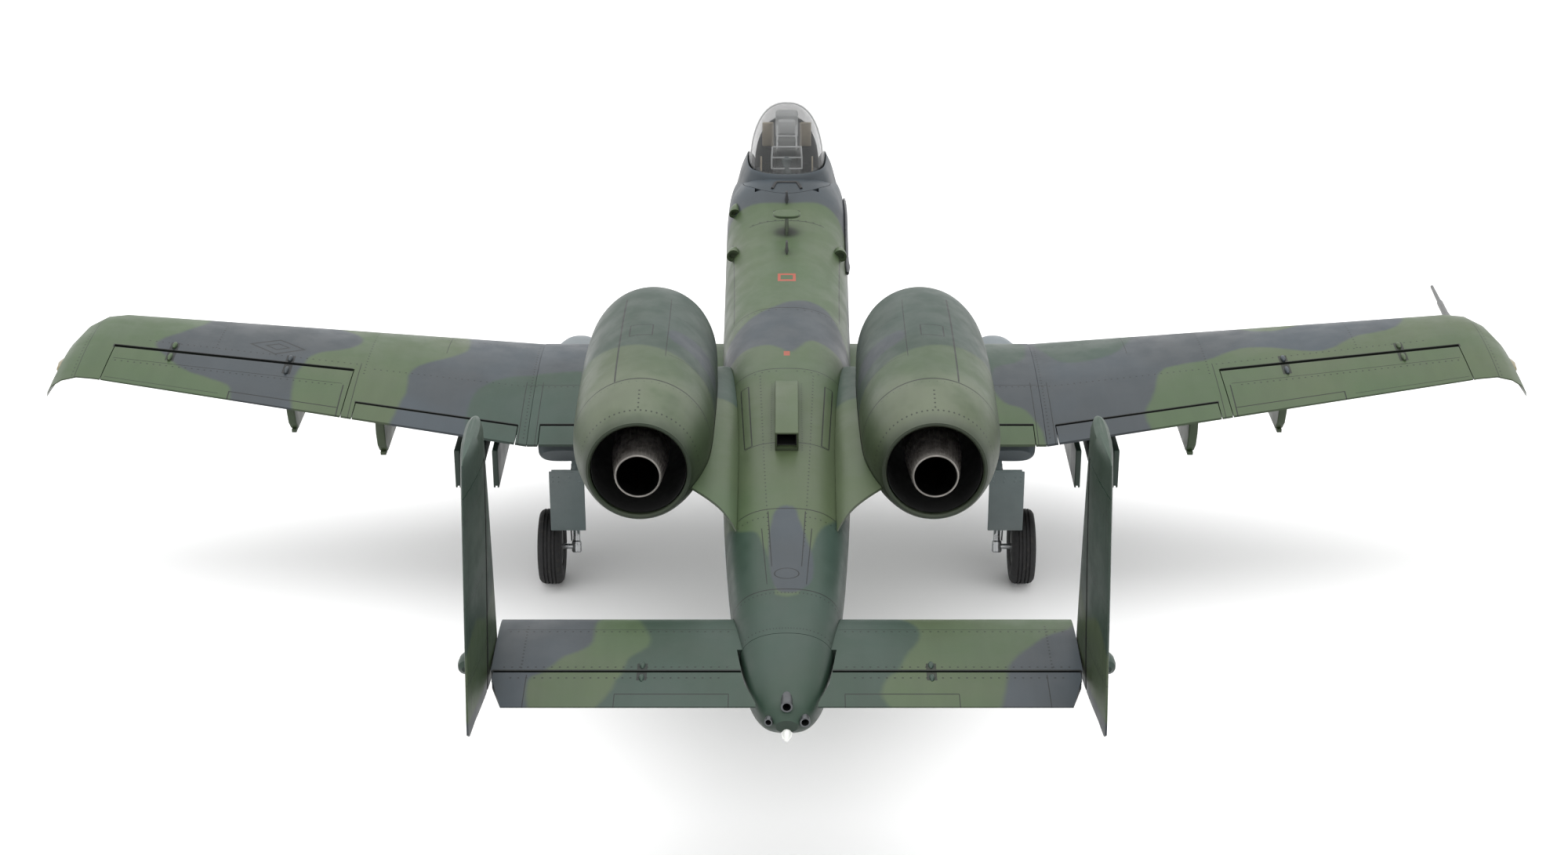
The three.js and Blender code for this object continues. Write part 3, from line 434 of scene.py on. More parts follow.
def smooth_outline(points):
    p = np.array(points, float)
    out = []
    for i in range(len(p)):
        near = p[i - 1], p[i], p[(i + 1) % len(p)], p[(i + 2) % len(p)]
        out += [between(*near, t) for t in spread(0, 1, OUTLINE_STEPS, False)]
    return np.array(out)


def depth_inside(points, outline):
    """How far each point lies inside an outline; negative outside."""
    best = np.full(len(points), 1e9)
    inside = np.zeros(len(points), bool)
    for a, b in zip(outline, np.roll(outline, -1, 0)):
        edge = b - a
        t = np.clip(((points - a) @ edge) / max(edge @ edge, 1e-12), 0, 1)
        best = np.minimum(best, np.linalg.norm(points - (a + t[:, None] * edge), axis=1))
        crosses = (a[1] > points[:, 1]) != (b[1] > points[:, 1])
        if abs(edge[1]) > 1e-12:
            inside ^= crosses & (points[:, 0] < a[0] + (points[:, 1] - a[1]) * edge[0] / edge[1])
    return np.where(inside, best, -best)


def field(obj, name, values):
    attribute = obj.data.attributes.new(name, "FLOAT", "POINT")
    attribute.data.foreach_set("value", np.asarray(values, np.float32))


def vertices(obj):
    co = np.zeros(len(obj.data.vertices) * 3, np.float32)
    obj.data.vertices.foreach_get("co", co)
    return full_size(co.reshape(-1, 3))


def camouflage(obj, plane, grey=(), dark=(), holes=()):
    """Stores how deep each vertex lies in the grey and in the dark green patches, seen in a plane."""
    flat = plane(vertices(obj))
    deepest = lambda outlines: np.max(
        [np.full(len(flat), -CLEAR_OF)] + [depth_inside(flat, smooth_outline(o)) for o in outlines], axis=0)
    in_grey = deepest(grey)
    if holes:
        in_grey = np.minimum(in_grey, -deepest(holes))
    field(obj, "grey", np.clip(in_grey, -CLEAR_OF, CLEAR_OF))
    field(obj, "dark", np.clip(deepest(dark), -CLEAR_OF, CLEAR_OF))


def plan_view(p):
    return p[:, :2]


def fin_view(p):
    return p[:, 1:]


FUSELAGE_AXIS_Z = 2.0


def fuselage_angle(p):
    return np.degrees(np.arctan2(p[:, 0], p[:, 2] - FUSELAGE_AXIS_Z))


def fuselage_view(p):
    return np.stack([fuselage_angle(p) * AROUND, p[:, 1]], 1)


ENGINE_X, ENGINE_Z = 1.53, 2.79


def nacelle_angle(p):
    """Degrees from the nacelle's top, positive outboard."""
    side = np.sign(np.mean(p[:, 0]))
    return np.degrees(np.arctan2(p[:, 0] * side - ENGINE_X, p[:, 2] - ENGINE_Z))


def nacelle_view(p):
    return np.stack([nacelle_angle(p) * AROUND, p[:, 1]], 1)


def degrees_outline(points):
    return [(angle * AROUND, s) for angle, s in points]


# ---------- materials ----------


class Value:
    """A number in a material's node tree, with arithmetic that adds Math nodes."""

    def __init__(self, paint, socket):
        self.paint = paint
        self.socket = socket

    def math(self, operation, *others):
        node = self.paint.node("ShaderNodeMath", operation=operation)
        for i, item in enumerate((self, *others)):
            self.paint.feed(node.inputs[i], item)
        return Value(self.paint, node.outputs[0])

    def __add__(self, other):
        return self.math("ADD", other)

    def __sub__(self, other):
        return self.math("SUBTRACT", other)

    def __mul__(self, other):
        return self.math("MULTIPLY", other)

    def near(self, centre, half):
        return self.math("COMPARE", centre, half)

    def between(self, low, high):
        return self.near((low + high) / 2, (high - low) / 2)

    def below(self, limit):
        return self.math("LESS_THAN", limit)

    def either(self, other):
        return self.math("MAXIMUM", other)

    def size(self):
        return self.math("ABSOLUTE")

    def part(self):
        return self.math("FRACT")

    def ramp(self, low, high, to_low=0.0, to_high=1.0):
        node = self.paint.node("ShaderNodeMapRange", interpolation_type="SMOOTHSTEP")
        for i, item in enumerate((self, low, high, to_low, to_high)):
            self.paint.feed(node.inputs[i], item)
        return Value(self.paint, node.outputs[0])


NOISE_ROUGHNESS = 0.55


class Paint:
    """A material whose nodes are written as arithmetic."""

    def __init__(self, name, **surface):
        self.material = bpy.data.materials.new(name)
        self.material.use_nodes = True
        self.tree = self.material.node_tree
        self.shader = self.tree.nodes["Principled BSDF"]
        for socket, value in surface.items():
            self.shader.inputs[socket.replace("_", " ")].default_value = value
        self.place = self.node("ShaderNodeTexCoord").outputs["Object"]
        split = self.node("ShaderNodeSeparateXYZ")
        self.feed(split.inputs[0], self.place)
        x, y, z = (Value(self, out) for out in split.outputs)
        self.x, self.s, self.z = x * (1 / M), y * (-1 / M) + LENGTH / 2 / M, z * (1 / M) - GROUND
        self.out = self.x.size()
        # the facing of the surface, which the paints use to paint shade onto faces turned away from up
        facing = self.node("ShaderNodeSeparateXYZ")
        self.feed(facing.inputs[0], self.node("ShaderNodeTexCoord").outputs["Normal"])
        self.up = Value(self, facing.outputs[2])

    def node(self, kind, **settings):
        made = self.tree.nodes.new(kind)
        for key, value in settings.items():
            setattr(made, key, value)
        return made

    def feed(self, socket, item):
        if isinstance(item, Value):
            item = item.socket
        if isinstance(item, bpy.types.NodeSocket):
            self.tree.links.new(item, socket)
        elif isinstance(item, tuple) and len(item) == 3 and socket.type == "RGBA":
            socket.default_value = (*item, 1)
        else:
            socket.default_value = item

    def noise(self, size, detail=3.0, stretch=(1, 1, 1)):
        """Noise from 0 to 1 whose blobs are about size metres, drawn out along the axes by stretch."""
        scaled = self.node("ShaderNodeVectorMath", operation="MULTIPLY")
        self.feed(scaled.inputs[0], self.place)
        self.feed(scaled.inputs[1], tuple(1 / (size * k) for k in stretch))
        made = self.node("ShaderNodeTexNoise")
        settings = {"Vector": scaled.outputs[0], "Scale": 1.0, "Detail": detail, "Roughness": NOISE_ROUGHNESS}
        for socket, item in settings.items():
            self.feed(made.inputs[socket], item)
        return Value(self, made.outputs[0])

    def attribute(self, name):
        return Value(self, self.node("ShaderNodeAttribute", attribute_name=name).outputs["Fac"])

    def mix(self, a, b, share):
        made = self.node("ShaderNodeMix", data_type="RGBA")
        self.feed(made.inputs[0], share)
        self.feed(made.inputs[6], a)
        self.feed(made.inputs[7], b)
        return made.outputs[2]

    def brighten(self, colour, factor):
        """A colour times a number."""
        made = self.node("ShaderNodeVectorMath", operation="SCALE")
        self.feed(made.inputs[0], colour)
        self.feed(made.inputs["Scale"], factor)
        return made.outputs[0]

    def finish(self, colour=None, roughness=None, height=None, depth=0.1 * MM):
        if colour is not None:
            self.feed(self.shader.inputs["Base Color"], colour)
        if roughness is not None:
            self.feed(self.shader.inputs["Roughness"], roughness)
        if height is not None:
            bump = self.node("ShaderNodeBump")
            self.feed(bump.inputs["Height"], height)
            bump.inputs["Distance"].default_value = depth
            self.feed(self.shader.inputs["Normal"], bump.outputs[0])
        return self.material


def srgb(r, g, b):
    """A display colour of 0 to 255 as linear light."""
    return tuple((c / 255 / 12.92) if c <= 10 else ((c / 255 + 0.055) / 1.055) ** 2.4 for c in (r, g, b))


GREEN, GREEN_WARM = srgb(59, 76, 50), srgb(66, 78, 54)
DARK, DARK_BLUE = srgb(38, 56, 45), srgb(44, 61, 53)
GREY, GREY_BLUE = srgb(49, 55, 59), srgb(52, 60, 66)
GROOVE = srgb(8, 11, 9)
LINE = 0.014  # width of an engraved line, in full-size metres


class Marks:
    """Engraved lines, rivets and painted marks, gathered as masks while a material is written."""

    def __init__(self, paint):
        self.paint = paint
        self.lines = None
        self.dots = None
        self.red = None

    def add(self, kind, mask):
        held = getattr(self, kind)
        setattr(self, kind, mask if held is None else held.either(mask))

    def line(self, u, place, v, low, high, width=LINE):
        """A line where u is at a place, for v from low to high."""
        self.add("lines", u.near(place, width / 2) * v.between(low, high))

    def box(self, u, u0, u1, v, v0, v1):
        for place in (u0, u1):
            self.line(u, place, v, v0, v1)
        for place in (v0, v1):
            self.line(v, place, u, u0, u1)

    def rivets(self, u, place, v, low, high, pitch=0.075, radius=0.011):
        a = u - place
        b = ((v * (1 / pitch)).part() - 0.5) * pitch
        self.add("dots", (a * a + b * b).below(radius**2) * v.between(low, high))


def painted(name, marks=None, light_and_tone=None, base=None):
    """Satin camouflage paint on smooth foam, with soft-edged patches and fine wear, painted darker on faces
    turned sideways or down as painted shade.
    """
    p = Paint(name, Specular_IOR_Level=0.32)
    wide, mid, fine = p.noise(0.16, 2), p.noise(0.028, 4), p.noise(0.0028, 2)
    streak = p.noise(0.012, 3, (1, 9, 1))
    wander = (mid - 0.5) * 0.05
    if base is None:
        green = p.mix(GREEN, GREEN_WARM, wide.ramp(0.35, 0.65))
        dark = p.mix(DARK, DARK_BLUE, wide.ramp(0.4, 0.62))
        grey = p.mix(GREY, GREY_BLUE, wide.ramp(0.4, 0.62))
        colour = p.mix(green, dark, (p.attribute("dark") + wander).ramp(-0.035, 0.035))
        colour = p.mix(colour, grey, (p.attribute("grey") + wander).ramp(-0.035, 0.035))
    else:
        colour = p.mix(base[0], base[1], wide.ramp(0.35, 0.65))
    # the fuselage skin adds its painted shadow here, and the nacelle skin its painted highlight and darker
    # tones
    if light_and_tone is not None:
        colour = light_and_tone(p, colour)
    mottle = mid.ramp(0.25, 0.75, 0.95, 1.05) * streak.ramp(0.3, 0.7, 0.965, 1.035)
    # painted shade: the colour is darkened on faces turned sideways or down and lightened a little on faces
    # turned up
    colour = p.brighten(colour, mottle * p.up.ramp(-0.1, 0.9, 0.56, 1.04))
    height = fine * 0.12 + mid * 0.25
    rough = mid.ramp(0.3, 0.7, 0.4, 0.52)
    if marks is not None:
        m = Marks(p)
        marks(p, m)
        if m.lines is not None:
            colour = p.mix(colour, GROOVE, m.lines * 0.9)
            height = height - m.lines * 2.0
        if m.dots is not None:
            colour = p.mix(colour, GROOVE, m.dots * 0.75)
            height = height - m.dots
        if m.red is not None:
            colour = p.mix(colour, srgb(156, 66, 52), m.red)
    return p.finish(colour, rough, height, 0.12 * MM)


def fuselage_marks(p, m):
    """Seams, access panels, rivet rows and two plain red tabs along the spine."""
    around = p.attribute("around")
    wide = around.size()
    arc, wide_arc = around * AROUND, wide * AROUND
    for s, reach in ((1.62, 180), (5.32, 28), (8.06, 180), (9.8, 60), (11.52, 38), (12.86, 52), (14.3, 180)):
        m.line(p.s, s, wide, 0, reach)
    for s, low, high in ((5.3, 3, 27), (9.86, 4, 26), (13.0, 20, 60), (14.36, 2, 90), (14.94, 2, 160),
                         (8.12, 3, 120)):
        m.rivets(p.s, s, wide_arc, low * AROUND, high * AROUND)
    for angle, low, high in ((21, 9.9, 13.6), (62, 5.4, 9.0), (95, 2.0, 14.2)):
        m.rivets(wide_arc, angle * AROUND, p.s, low, high)
    for angle, low, high in ((20, 12.9, 13.9), (45, 5.4, 8.0), (118, 3.4, 12.0), (28, 13.2, 14.2)):
        m.line(wide_arc, angle * AROUND, p.s, low, high)
    for u, low, high, s0, s1 in ((wide_arc, 31, 38, 10.1, 11.5), (arc, -9, 9, 5.02, 5.12),
                                 (wide_arc, 66, 84, 6.2, 7.1), (wide_arc, 72, 90, 12.0, 12.7)):
        m.box(u, low * AROUND, high * AROUND, p.s, s0, s1)
    m.rivets(p.x.size(), 0.165, p.s, 10.15, 11.7, 0.05, 0.007)
    oval = (p.x * p.x) * (1 / 0.12**2) + (p.s - 14.03) * (p.s - 14.03) * (1 / 0.09**2)
    m.add("lines", oval.near(1.0, 0.1) * p.z.between(2.0, 3.0))
    tab = p.s.between(6.98, 7.22) * p.x.near(0, 0.11)
    hollow = p.s.between(7.03, 7.17) * p.x.near(0, 0.075)
    m.add("red", tab * (hollow * -1.0 + 1.0) * p.z.between(2.4, 3.2) * 0.8)
    m.add("red", p.s.between(9.34, 9.46) * p.x.near(0, 0.035) * p.z.between(2.4, 3.2) * 0.7)


def antenna_plate_shadow(p, colour):
    """A painted shadow round the foot of the mast antenna, under its top plate."""
    dx, ds = p.x * (1 / 0.2), (p.s - 5.68) * (1 / 0.2)
    near = (dx * dx + ds * ds).ramp(1.0, 0.0) * p.z.between(2.6, 3.2)
    return p.mix(colour, srgb(14, 18, 13), near * 0.85)


def wing_marks(p, m):
    """Panel lines and rivets of the wing, and a plain lozenge mark on the left panel."""
    left = p.x.below(0.0)
    for x, low, high in ((3.16, 7.75, 9.2), (2.96, 7.75, 9.2), (5.16, 7.75, 9.2), (8.38, 6.9, 8.8),
                         (4.2, 6.4, 7.2)):
        m.line(p.out, x, p.s, low, high, 0.008)
    m.line(p.s, 8.27, p.out, 5.32, 8.02, 0.008)
    m.line(p.s, 7.82, p.out, 2.2, 3.16, 0.008)
    m.line(p.s, 6.62, p.out, 3.1, 8.2, 0.006)
    for x in (6.0, 7.38):
        m.add("lines", p.out.near(x, 0.05) * p.s.between(7.76, 8.2) * 0.9)
    slots = (p.s - p.out * 0.0211, 7.82, 5.24, 8.08, 0.035), (p.s + p.out * 0.0518, 8.895, 3.19, 5.12, 0.024)
    for across_gap, place, inner, outer, half in (*slots, (p.s, 8.7, 0.95, 2.93, 0.024)):
        m.add("lines", across_gap.near(place, half) * p.out.between(inner, outer))
    tab_line = p.s - p.out * -0.062
    m.line(tab_line, 9.105, p.out, 5.3, 6.58)
    m.line(p.out, 6.58, p.s, 8.69, 9.2)
    m.line(p.out, 5.3, p.s, 8.3, 9.2)
    m.line(tab_line, 9.17, p.out, 6.7, 8.04, 0.006)
    for s, low, high in ((7.78, 5.2, 7.7), (8.32, 5.4, 8.0), (6.68, 3.2, 8.1), (7.86, 2.2, 5.0)):
        m.rivets(p.s, s, p.out, low, high)
    for x, low, high in ((3.1, 6.4, 9.0), (5.1, 6.5, 8.0), (8.42, 7.0, 8.7), (6.9, 6.6, 7.8)):
        m.rivets(p.out, x, p.s, low, high)
    above = p.z - p.out * 0.1385 + 1.14
    ring = (p.x + 6.2).size() * (1 / 0.32) + (p.s - 7.56).size() * (1 / 0.2)
    mark = ring.near(1.0, 0.07).either(ring.near(0.42, 0.06)) * left * above.math("GREATER_THAN", 0.0)
    m.add("lines", mark * 0.8)


def tail_marks(p, m):
    """Tab outlines, hinge-side rivets and end ribs of the tailplane and elevators."""
    for x, low, high in ((0.54, 15.76, 16.1), (1.6, 15.76, 16.1), (2.44, 15.45, 16.1)):
        m.line(p.out, x, p.s, low, high, 0.008)
    m.line(p.s, 15.76, p.out, 0.54, 1.6)
    m.add("lines", p.out.near(1.36, 0.048) * p.s.between(15.26, 15.54) * 0.9)
    m.add("lines", p.s.near(15.385, 0.024) * p.out.between(0.435, 2.77))
    m.line(p.s, 14.62, p.out, 0.5, 2.7, 0.006)
    for s, low, high in ((15.32, 0.5, 2.7), (14.66, 0.5, 2.7), (15.5, 0.6, 2.6)):
        m.rivets(p.s, s, p.out, low, high)
    m.rivets(p.out, 2.5, p.s, 14.5, 15.35, 0.06)


def fin_marks(p, m):
    """Ribs, rivets and the hinge gap of a fin and its rudder."""
    for z in (2.35, 3.1, 3.9):
        m.line(p.z, z, p.s, 14.2, 16.3, 0.007)
        m.rivets(p.z, z + 0.05, p.s, 14.4, 16.2, 0.07)
    m.line(p.s - p.z * 0.2, 14.35, p.z, 2.1, 4.2, 0.007)
    m.add("lines", (p.s + p.z * 0.1302).near(15.63, 0.038) * p.z.between(1.8, 4.14))
    m.line(p.s + p.z * 0.097, 16.28, p.z, 1.9, 4.1, 0.008)


def nacelle_marks(p, m):
    """Cowling joints, a plain access hatch and the rivet rows of the tail cone."""
    around = p.attribute("around")
    arc = around * AROUND
    m.line(arc, 22 * AROUND, p.s, 9.35, 11.74, 0.02)
    m.line(arc, -18 * AROUND, p.s, 9.4, 11.1, 0.009)
    m.line(p.s, 11.76, around, -180, 180, 0.02)
    m.line(p.s, 9.0, around, -180, 180, 0.008)
    m.line(p.s, 11.05, around, -70, -20, 0.006)
    m.line(p.s, 9.92, around, -45, -22, 0.006)
    m.box(arc, -5 * AROUND, 14 * AROUND, p.s, 10.3, 10.6)
    m.box(arc, 96 * AROUND, 150 * AROUND, p.s, 9.5, 11.4)
    m.rivets(p.s, 12.33, arc, -1.6, 1.6, 0.07, 0.013)
    m.rivets(p.s, 11.82, arc, -2.2, 2.2, 0.085, 0.006)
    m.rivets(arc, 0.0, p.s, 11.95, 12.33, 0.07, 0.013)
    m.rivets(arc, 1.05, p.s, 9.2, 11.7, 0.09, 0.006)


def nacelle_tone_and_highlight(p, colour):
    """The whole nacelle about a fifth darker, a patchy pale painted highlight over the up-facing top of the
    rear cowling from s 11.2 back, and a darker rear edge.
    """
    rear_highlight = p.s.ramp(11.2, 11.85) * p.noise(0.05, 3).ramp(0.25, 0.6)
    # the pale mix is a painted highlight, kept to faces turned up
    colour = p.mix(p.brighten(colour, 0.82), srgb(92, 98, 82), rear_highlight * p.up.ramp(0.15, 0.95) * 0.62)
    return p.mix(colour, srgb(34, 40, 34), p.s.ramp(12.3, 12.5) * 0.5)


def metal(name, colour, rough):
    """Bare metal, dulled and brightened in patches a few millimetres across."""
    p = Paint(name, Metallic=0.92)
    wear, grain = p.noise(0.006, 4), p.noise(0.0012, 2)
    tone = p.brighten(colour, wear.ramp(0.25, 0.75, 0.72, 1.12))
    height = grain * 0.4 + wear * 0.4
    return p.finish(tone, wear.ramp(0.3, 0.7, rough - 0.08, rough + 0.12), height, 0.05 * MM)


def plastic(name, colour, rough, contrast=0.12, size=0.009, **surface):
    """Moulded plastic with blotches of a size and contrast, and fine pores."""
    p = Paint(name, **surface)
    blotch, pores = p.noise(size, 3), p.noise(0.0011, 2)
    tone = p.brighten(colour, blotch.ramp(0.25, 0.75, 1 - contrast, 1 + contrast))
    height = pores * 0.6 + blotch * 0.3
    return p.finish(tone, blotch.ramp(0.3, 0.7, rough - 0.06, rough + 0.08), height, 0.06 * MM)


def rubber():
    """Black tyre rubber, dusty on the tread."""
    p = Paint("tyre_rubber", Specular_IOR_Level=0.35)
    dust, pores = p.noise(0.006, 4), p.noise(0.0009, 2)
    tone = p.mix(srgb(26, 26, 27), srgb(62, 60, 56), dust.ramp(0.5, 0.8) * 0.6)
    return p.finish(tone, dust.ramp(0.3, 0.7, 0.68, 0.86), pores * 0.7 + dust * 0.3, 0.1 * MM)


def nozzle_metal():
    """Heat-stained steel with fine lengthwise pressings, lighter towards the rear lip, and near black inside
    the bore as painted shade.
    """
    p = Paint("nozzle_steel", Metallic=0.75)
    heat, grain = p.noise(0.008, 4), p.noise(0.0016, 3, (1, 7, 1))
    tone = p.mix(srgb(118, 114, 110), srgb(72, 68, 65), heat.ramp(0.32, 0.7))
    tone = p.mix(tone, srgb(150, 147, 142), p.s.ramp(12.52, 12.6) * 0.5)
    from_axis_x, from_axis_z = p.out - ENGINE_X, p.z - ENGINE_Z
    # painted shade: near black inside the bore
    bore = (from_axis_x * from_axis_x + from_axis_z * from_axis_z).ramp(0.226**2, 0.218**2)
    tone = p.mix(tone, srgb(12, 12, 12), bore)
    return p.finish(tone, heat.ramp(0.3, 0.7, 0.34, 0.52), grain, 0.08 * MM)


def glass():
    """Thin clear canopy plastic, faintly smoked."""
    p = Paint("canopy_clear", Roughness=0.04, IOR=1.5, Alpha=0.3, Specular_IOR_Level=1.0)
    smear = p.noise(0.02, 3)
    tone = p.brighten(srgb(40, 43, 43), smear.ramp(0.25, 0.75, 0.85, 1.15))
    return p.finish(tone, smear.ramp(0.2, 0.8, 0.03, 0.09), smear, 0.02 * MM)


def weave():
    """Twill of carbon tube."""
    p = Paint("carbon_twill", Roughness=0.3, Coat_Weight=0.5)
    across_x, across_z = (p.x * 70).part(), (p.z * 70 + p.s * 70).part()
    twill = (across_x - across_z).size()
    return p.finish(p.mix(srgb(22, 22, 24), srgb(52, 52, 55), twill.ramp(0.3, 0.6)),
                    twill.ramp(0, 1, 0.28, 0.42))


SKIN = {
    "fuselage": painted("fuselage_paint", fuselage_marks, antenna_plate_shadow),
    "wing": painted("wing_paint", wing_marks),
    "tail": painted("tail_paint", tail_marks),
    "fin": painted("fin_paint", fin_marks),
    "nacelle": painted("nacelle_paint", nacelle_marks, nacelle_tone_and_highlight),
    "plain": painted("small_parts_green", base=(GREEN, GREEN_WARM)),
    "dark": painted("small_parts_dark", base=(DARK, DARK_BLUE)),
    "grey": painted("small_parts_grey", base=(GREY, GREY_BLUE)),
    "pale": painted("gear_grey", base=(srgb(99, 112, 112), srgb(105, 114, 114))),
    "pod": painted("pod_grey", base=(srgb(92, 101, 105), srgb(98, 105, 108))),
}
BLACK = plastic("black_plastic", srgb(30, 31, 32), 0.5)
# near-black skin laid inside the ducts as painted shade for their dark insides
DUCT_SHADE_BLACK = plastic("duct_shade_black", srgb(22, 23, 23), 0.75, 0.25)
RUBBER = rubber()
STEEL = metal("strut_metal", srgb(170, 172, 173), 0.3)
GUNMETAL = metal("gun_metal", srgb(88, 90, 92), 0.38)
HUB_METAL = metal("hub_metal", srgb(120, 121, 120), 0.42)
COPPER = metal("motor_winding", srgb(170, 98, 58), 0.4)
NOZZLE = nozzle_metal()
GLASS = glass()
COCKPIT = plastic("cockpit_grey", srgb(84, 86, 84), 0.55, 0.2)
COCKPIT_DARK = plastic("cockpit_dark", srgb(38, 39, 38), 0.6, 0.25)
TAN = plastic("cockpit_tan", srgb(172, 160, 138), 0.6, 0.12)
HEADREST = plastic("headrest_grey", srgb(186, 188, 188), 0.5, 0.08)
STRAP = plastic("harness_webbing", srgb(120, 124, 104), 0.8, 0.25, 0.002)
TIP_LAMP = plastic("lamp_amber", srgb(120, 112, 84), 0.2, 0.1, Coat_Weight=0.6)
LAMP = plastic("lamp_clear", srgb(206, 208, 204), 0.15, 0.06, Coat_Weight=0.8)
WRAP = plastic("battery_wrap", srgb(44, 74, 140), 0.32, 0.1, Coat_Weight=0.3)
CARBON = weave()

# ---------- putting a piece in place ----------


def piece(obj, name, body, material, replaces=(), sharp=32):
    """Names a finished shape, smooths and paints it, and lets it ride on its body."""
    obj.name = name
    obj.data.name = name
    obj.data.materials.clear()
    obj.data.materials.append(material)
    obj.data.polygons.foreach_set("use_smooth", [True] * len(obj.data.polygons))
    obj.data.polygons.foreach_set("material_index", [0] * len(obj.data.polygons))
    obj.data.set_sharp_from_angle(angle=math.radians(sharp))
    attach(obj, body)
    if replaces:
        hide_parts(*replaces)
    return obj


def both(obj, stem, body, material, replaces=True, paint=None):
    """The right-hand piece and its mirror image. body and the replaced node take the side's name."""
    for side in SIDES:
        made = copy_of(obj) if side == "right" else mirrored(obj)
        if paint:
            paint(made, side)
        on = body if body == "airframe" else f"{body}_{side}"
        piece(made, f"{stem}_{side}.fine", on, material, [f"{stem}_{side}"] if replaces else ())
    discard(obj)


# ---------- wing ----------

WING_Z = 1.53
PANEL_ROOT_X = 3.06
TIP_X = FULL_SIZE_SPAN / 2
TIP_PANEL_X = 8.15
CAMBER = 0.018
THICKNESS = 0.142
FLAP_ROOT_X, FLAP_END_X = 0.95, 2.93
BEHIND_WING = 9.4


def line_at(a, b, u):
    return a[1] + (b[1] - a[1]) * (u - a[0]) / (b[0] - a[0])


def panel_z(x):
    return WING_Z + 0.79 * (x - PANEL_ROOT_X) / (TIP_X - PANEL_ROOT_X)


PANEL_ROWS = [
    *((x, line_at((PANEL_ROOT_X, 6.1), (TIP_PANEL_X, 6.8), x),
       line_at((PANEL_ROOT_X, 9.08), (TIP_PANEL_X, 8.72), x),
       panel_z(x), THICKNESS, CAMBER) for x in (PANEL_ROOT_X, 5.2, TIP_PANEL_X)),
    (8.36, 6.88, 8.71, 2.25, 0.135, 0.02), (8.54, 7.02, 8.7, 2.205, 0.12, 0.025),
    (8.67, 7.22, 8.68, 2.12, 0.1, 0.03),
    (8.74, 7.46, 8.65, 2.02, 0.08, 0.03), (TIP_X, 7.72, 8.6, 1.95, 0.05, 0.02),
]
CENTRE_ROWS = [(sign * (PANEL_ROOT_X - SEAM / M), 6.1, 9.08, WING_Z, 0.15, CAMBER) for sign in (-1, 1)]

LEFT_WING_GREY = [
    [(-7.3, 6.0), (-7.22, 6.45), (-7.15, 6.95), (-7.32, 7.35), (-7.56, 7.7), (-7.6, 7.88), (-7.42, 8.12),
     (-7.15, 8.36), (-6.85, 8.48), (-6.62, 8.58), (-6.55, 8.8), (-6.5, 9.2), (-5.84, 9.2), (-5.87, 8.6),
     (-5.88, 8.2), (-5.84, 7.95), (-5.78, 7.72), (-5.65, 7.56), (-5.45, 7.44), (-5.3, 7.3), (-5.24, 7.1),
     (-5.32, 6.9), (-5.5, 6.72), (-5.75, 6.5), (-5.9, 6.0)],
    [(-4.0, 5.9), (-3.98, 6.6), (-3.96, 7.0), (-4.1, 7.25), (-4.35, 7.5), (-4.52, 7.72), (-4.57, 7.95),
     (-4.55, 8.3), (-4.6, 8.6), (-4.62, 9.3), (-3.84, 9.3), (-3.8, 8.7), (-3.78, 8.3), (-3.68, 7.98),
     (-3.45, 7.72), (-3.1, 7.56), (-2.6, 7.45), (-2.0, 7.4), (-2.0, 5.9)],
]
LEFT_WING_DARK = [[(-4.1, 9.4), (-4.0, 8.4), (-3.7, 7.7), (-3.0, 7.2), (-2.0, 7.1), (-1.0, 7.2), (-1.0, 9.4)]]
RIGHT_WING_GREY = [
    [(7.72, 6.0), (7.68, 6.5), (7.62, 6.95), (7.5, 7.24), (7.3, 7.37), (7.0, 7.43), (6.8, 7.55), (6.62, 7.7),
     (6.4, 7.73), (6.1, 7.6), (5.85, 7.48), (5.6, 7.43), (5.38, 7.5), (5.15, 7.63), (4.85, 7.68), (4.6, 7.73),
     (4.5, 7.88), (4.45, 8.1), (4.36, 8.4), (4.25, 8.7), (4.2, 9.3), (3.2, 9.3), (3.0, 8.75), (2.85, 8.4),
     (2.65, 8.26), (2.55, 8.1), (2.5, 7.9), (2.52, 7.5), (2.6, 7.3), (2.82, 7.2), (2.96, 7.0), (3.0, 6.5),
     (3.0, 5.8)],
]
RIGHT_WING_DARK = [[(2.2, 5.8), (4.6, 5.8), (4.5, 6.9), (4.2, 7.25), (3.7, 7.45), (3.2, 7.5), (2.6, 7.9),
                    (2.2, 7.4)]]
RIGHT_WING_HOLE = [[(5.55, 6.42), (5.7, 6.3), (6.1, 6.3), (6.38, 6.5), (6.36, 6.78), (6.05, 6.95),
                    (5.75, 6.8)],
                   [(3.2, 6.3), (3.3, 7.1), (3.6, 7.3), (4.1, 7.1), (4.3, 6.3)]]
WING_PATCHES = {
    "left": (LEFT_WING_GREY, LEFT_WING_DARK, ()),
    "right": (RIGHT_WING_GREY, RIGHT_WING_DARK, RIGHT_WING_HOLE),
}


def wing_camouflage(obj, side):
    grey, dark, holes = WING_PATCHES[side]
    camouflage(obj, plan_view, grey, dark, holes)


# The ends of a hinge as x, s, height over the panel's line and the radius of the surface's front edge
OUTER_FLAP = [(3.19, 8.75, 0.021, 0.055), (5.12, 8.65, 0.019, 0.048)]
AILERON = [(5.24, 7.96, 0.036, 0.094), (8.08, 8.02, 0.027, 0.062)]


def cut_from_panel(panel, ends, lip):
    a, b = ((x, s, panel_z(x) + over) for x, s, over, _ in ends)
    return cut_surface(panel, at(*a), at(*b), ends[0][3] * M, ends[1][3] * M,
                       behind_climbing_hinge(a, b, BEHIND_WING), lip)


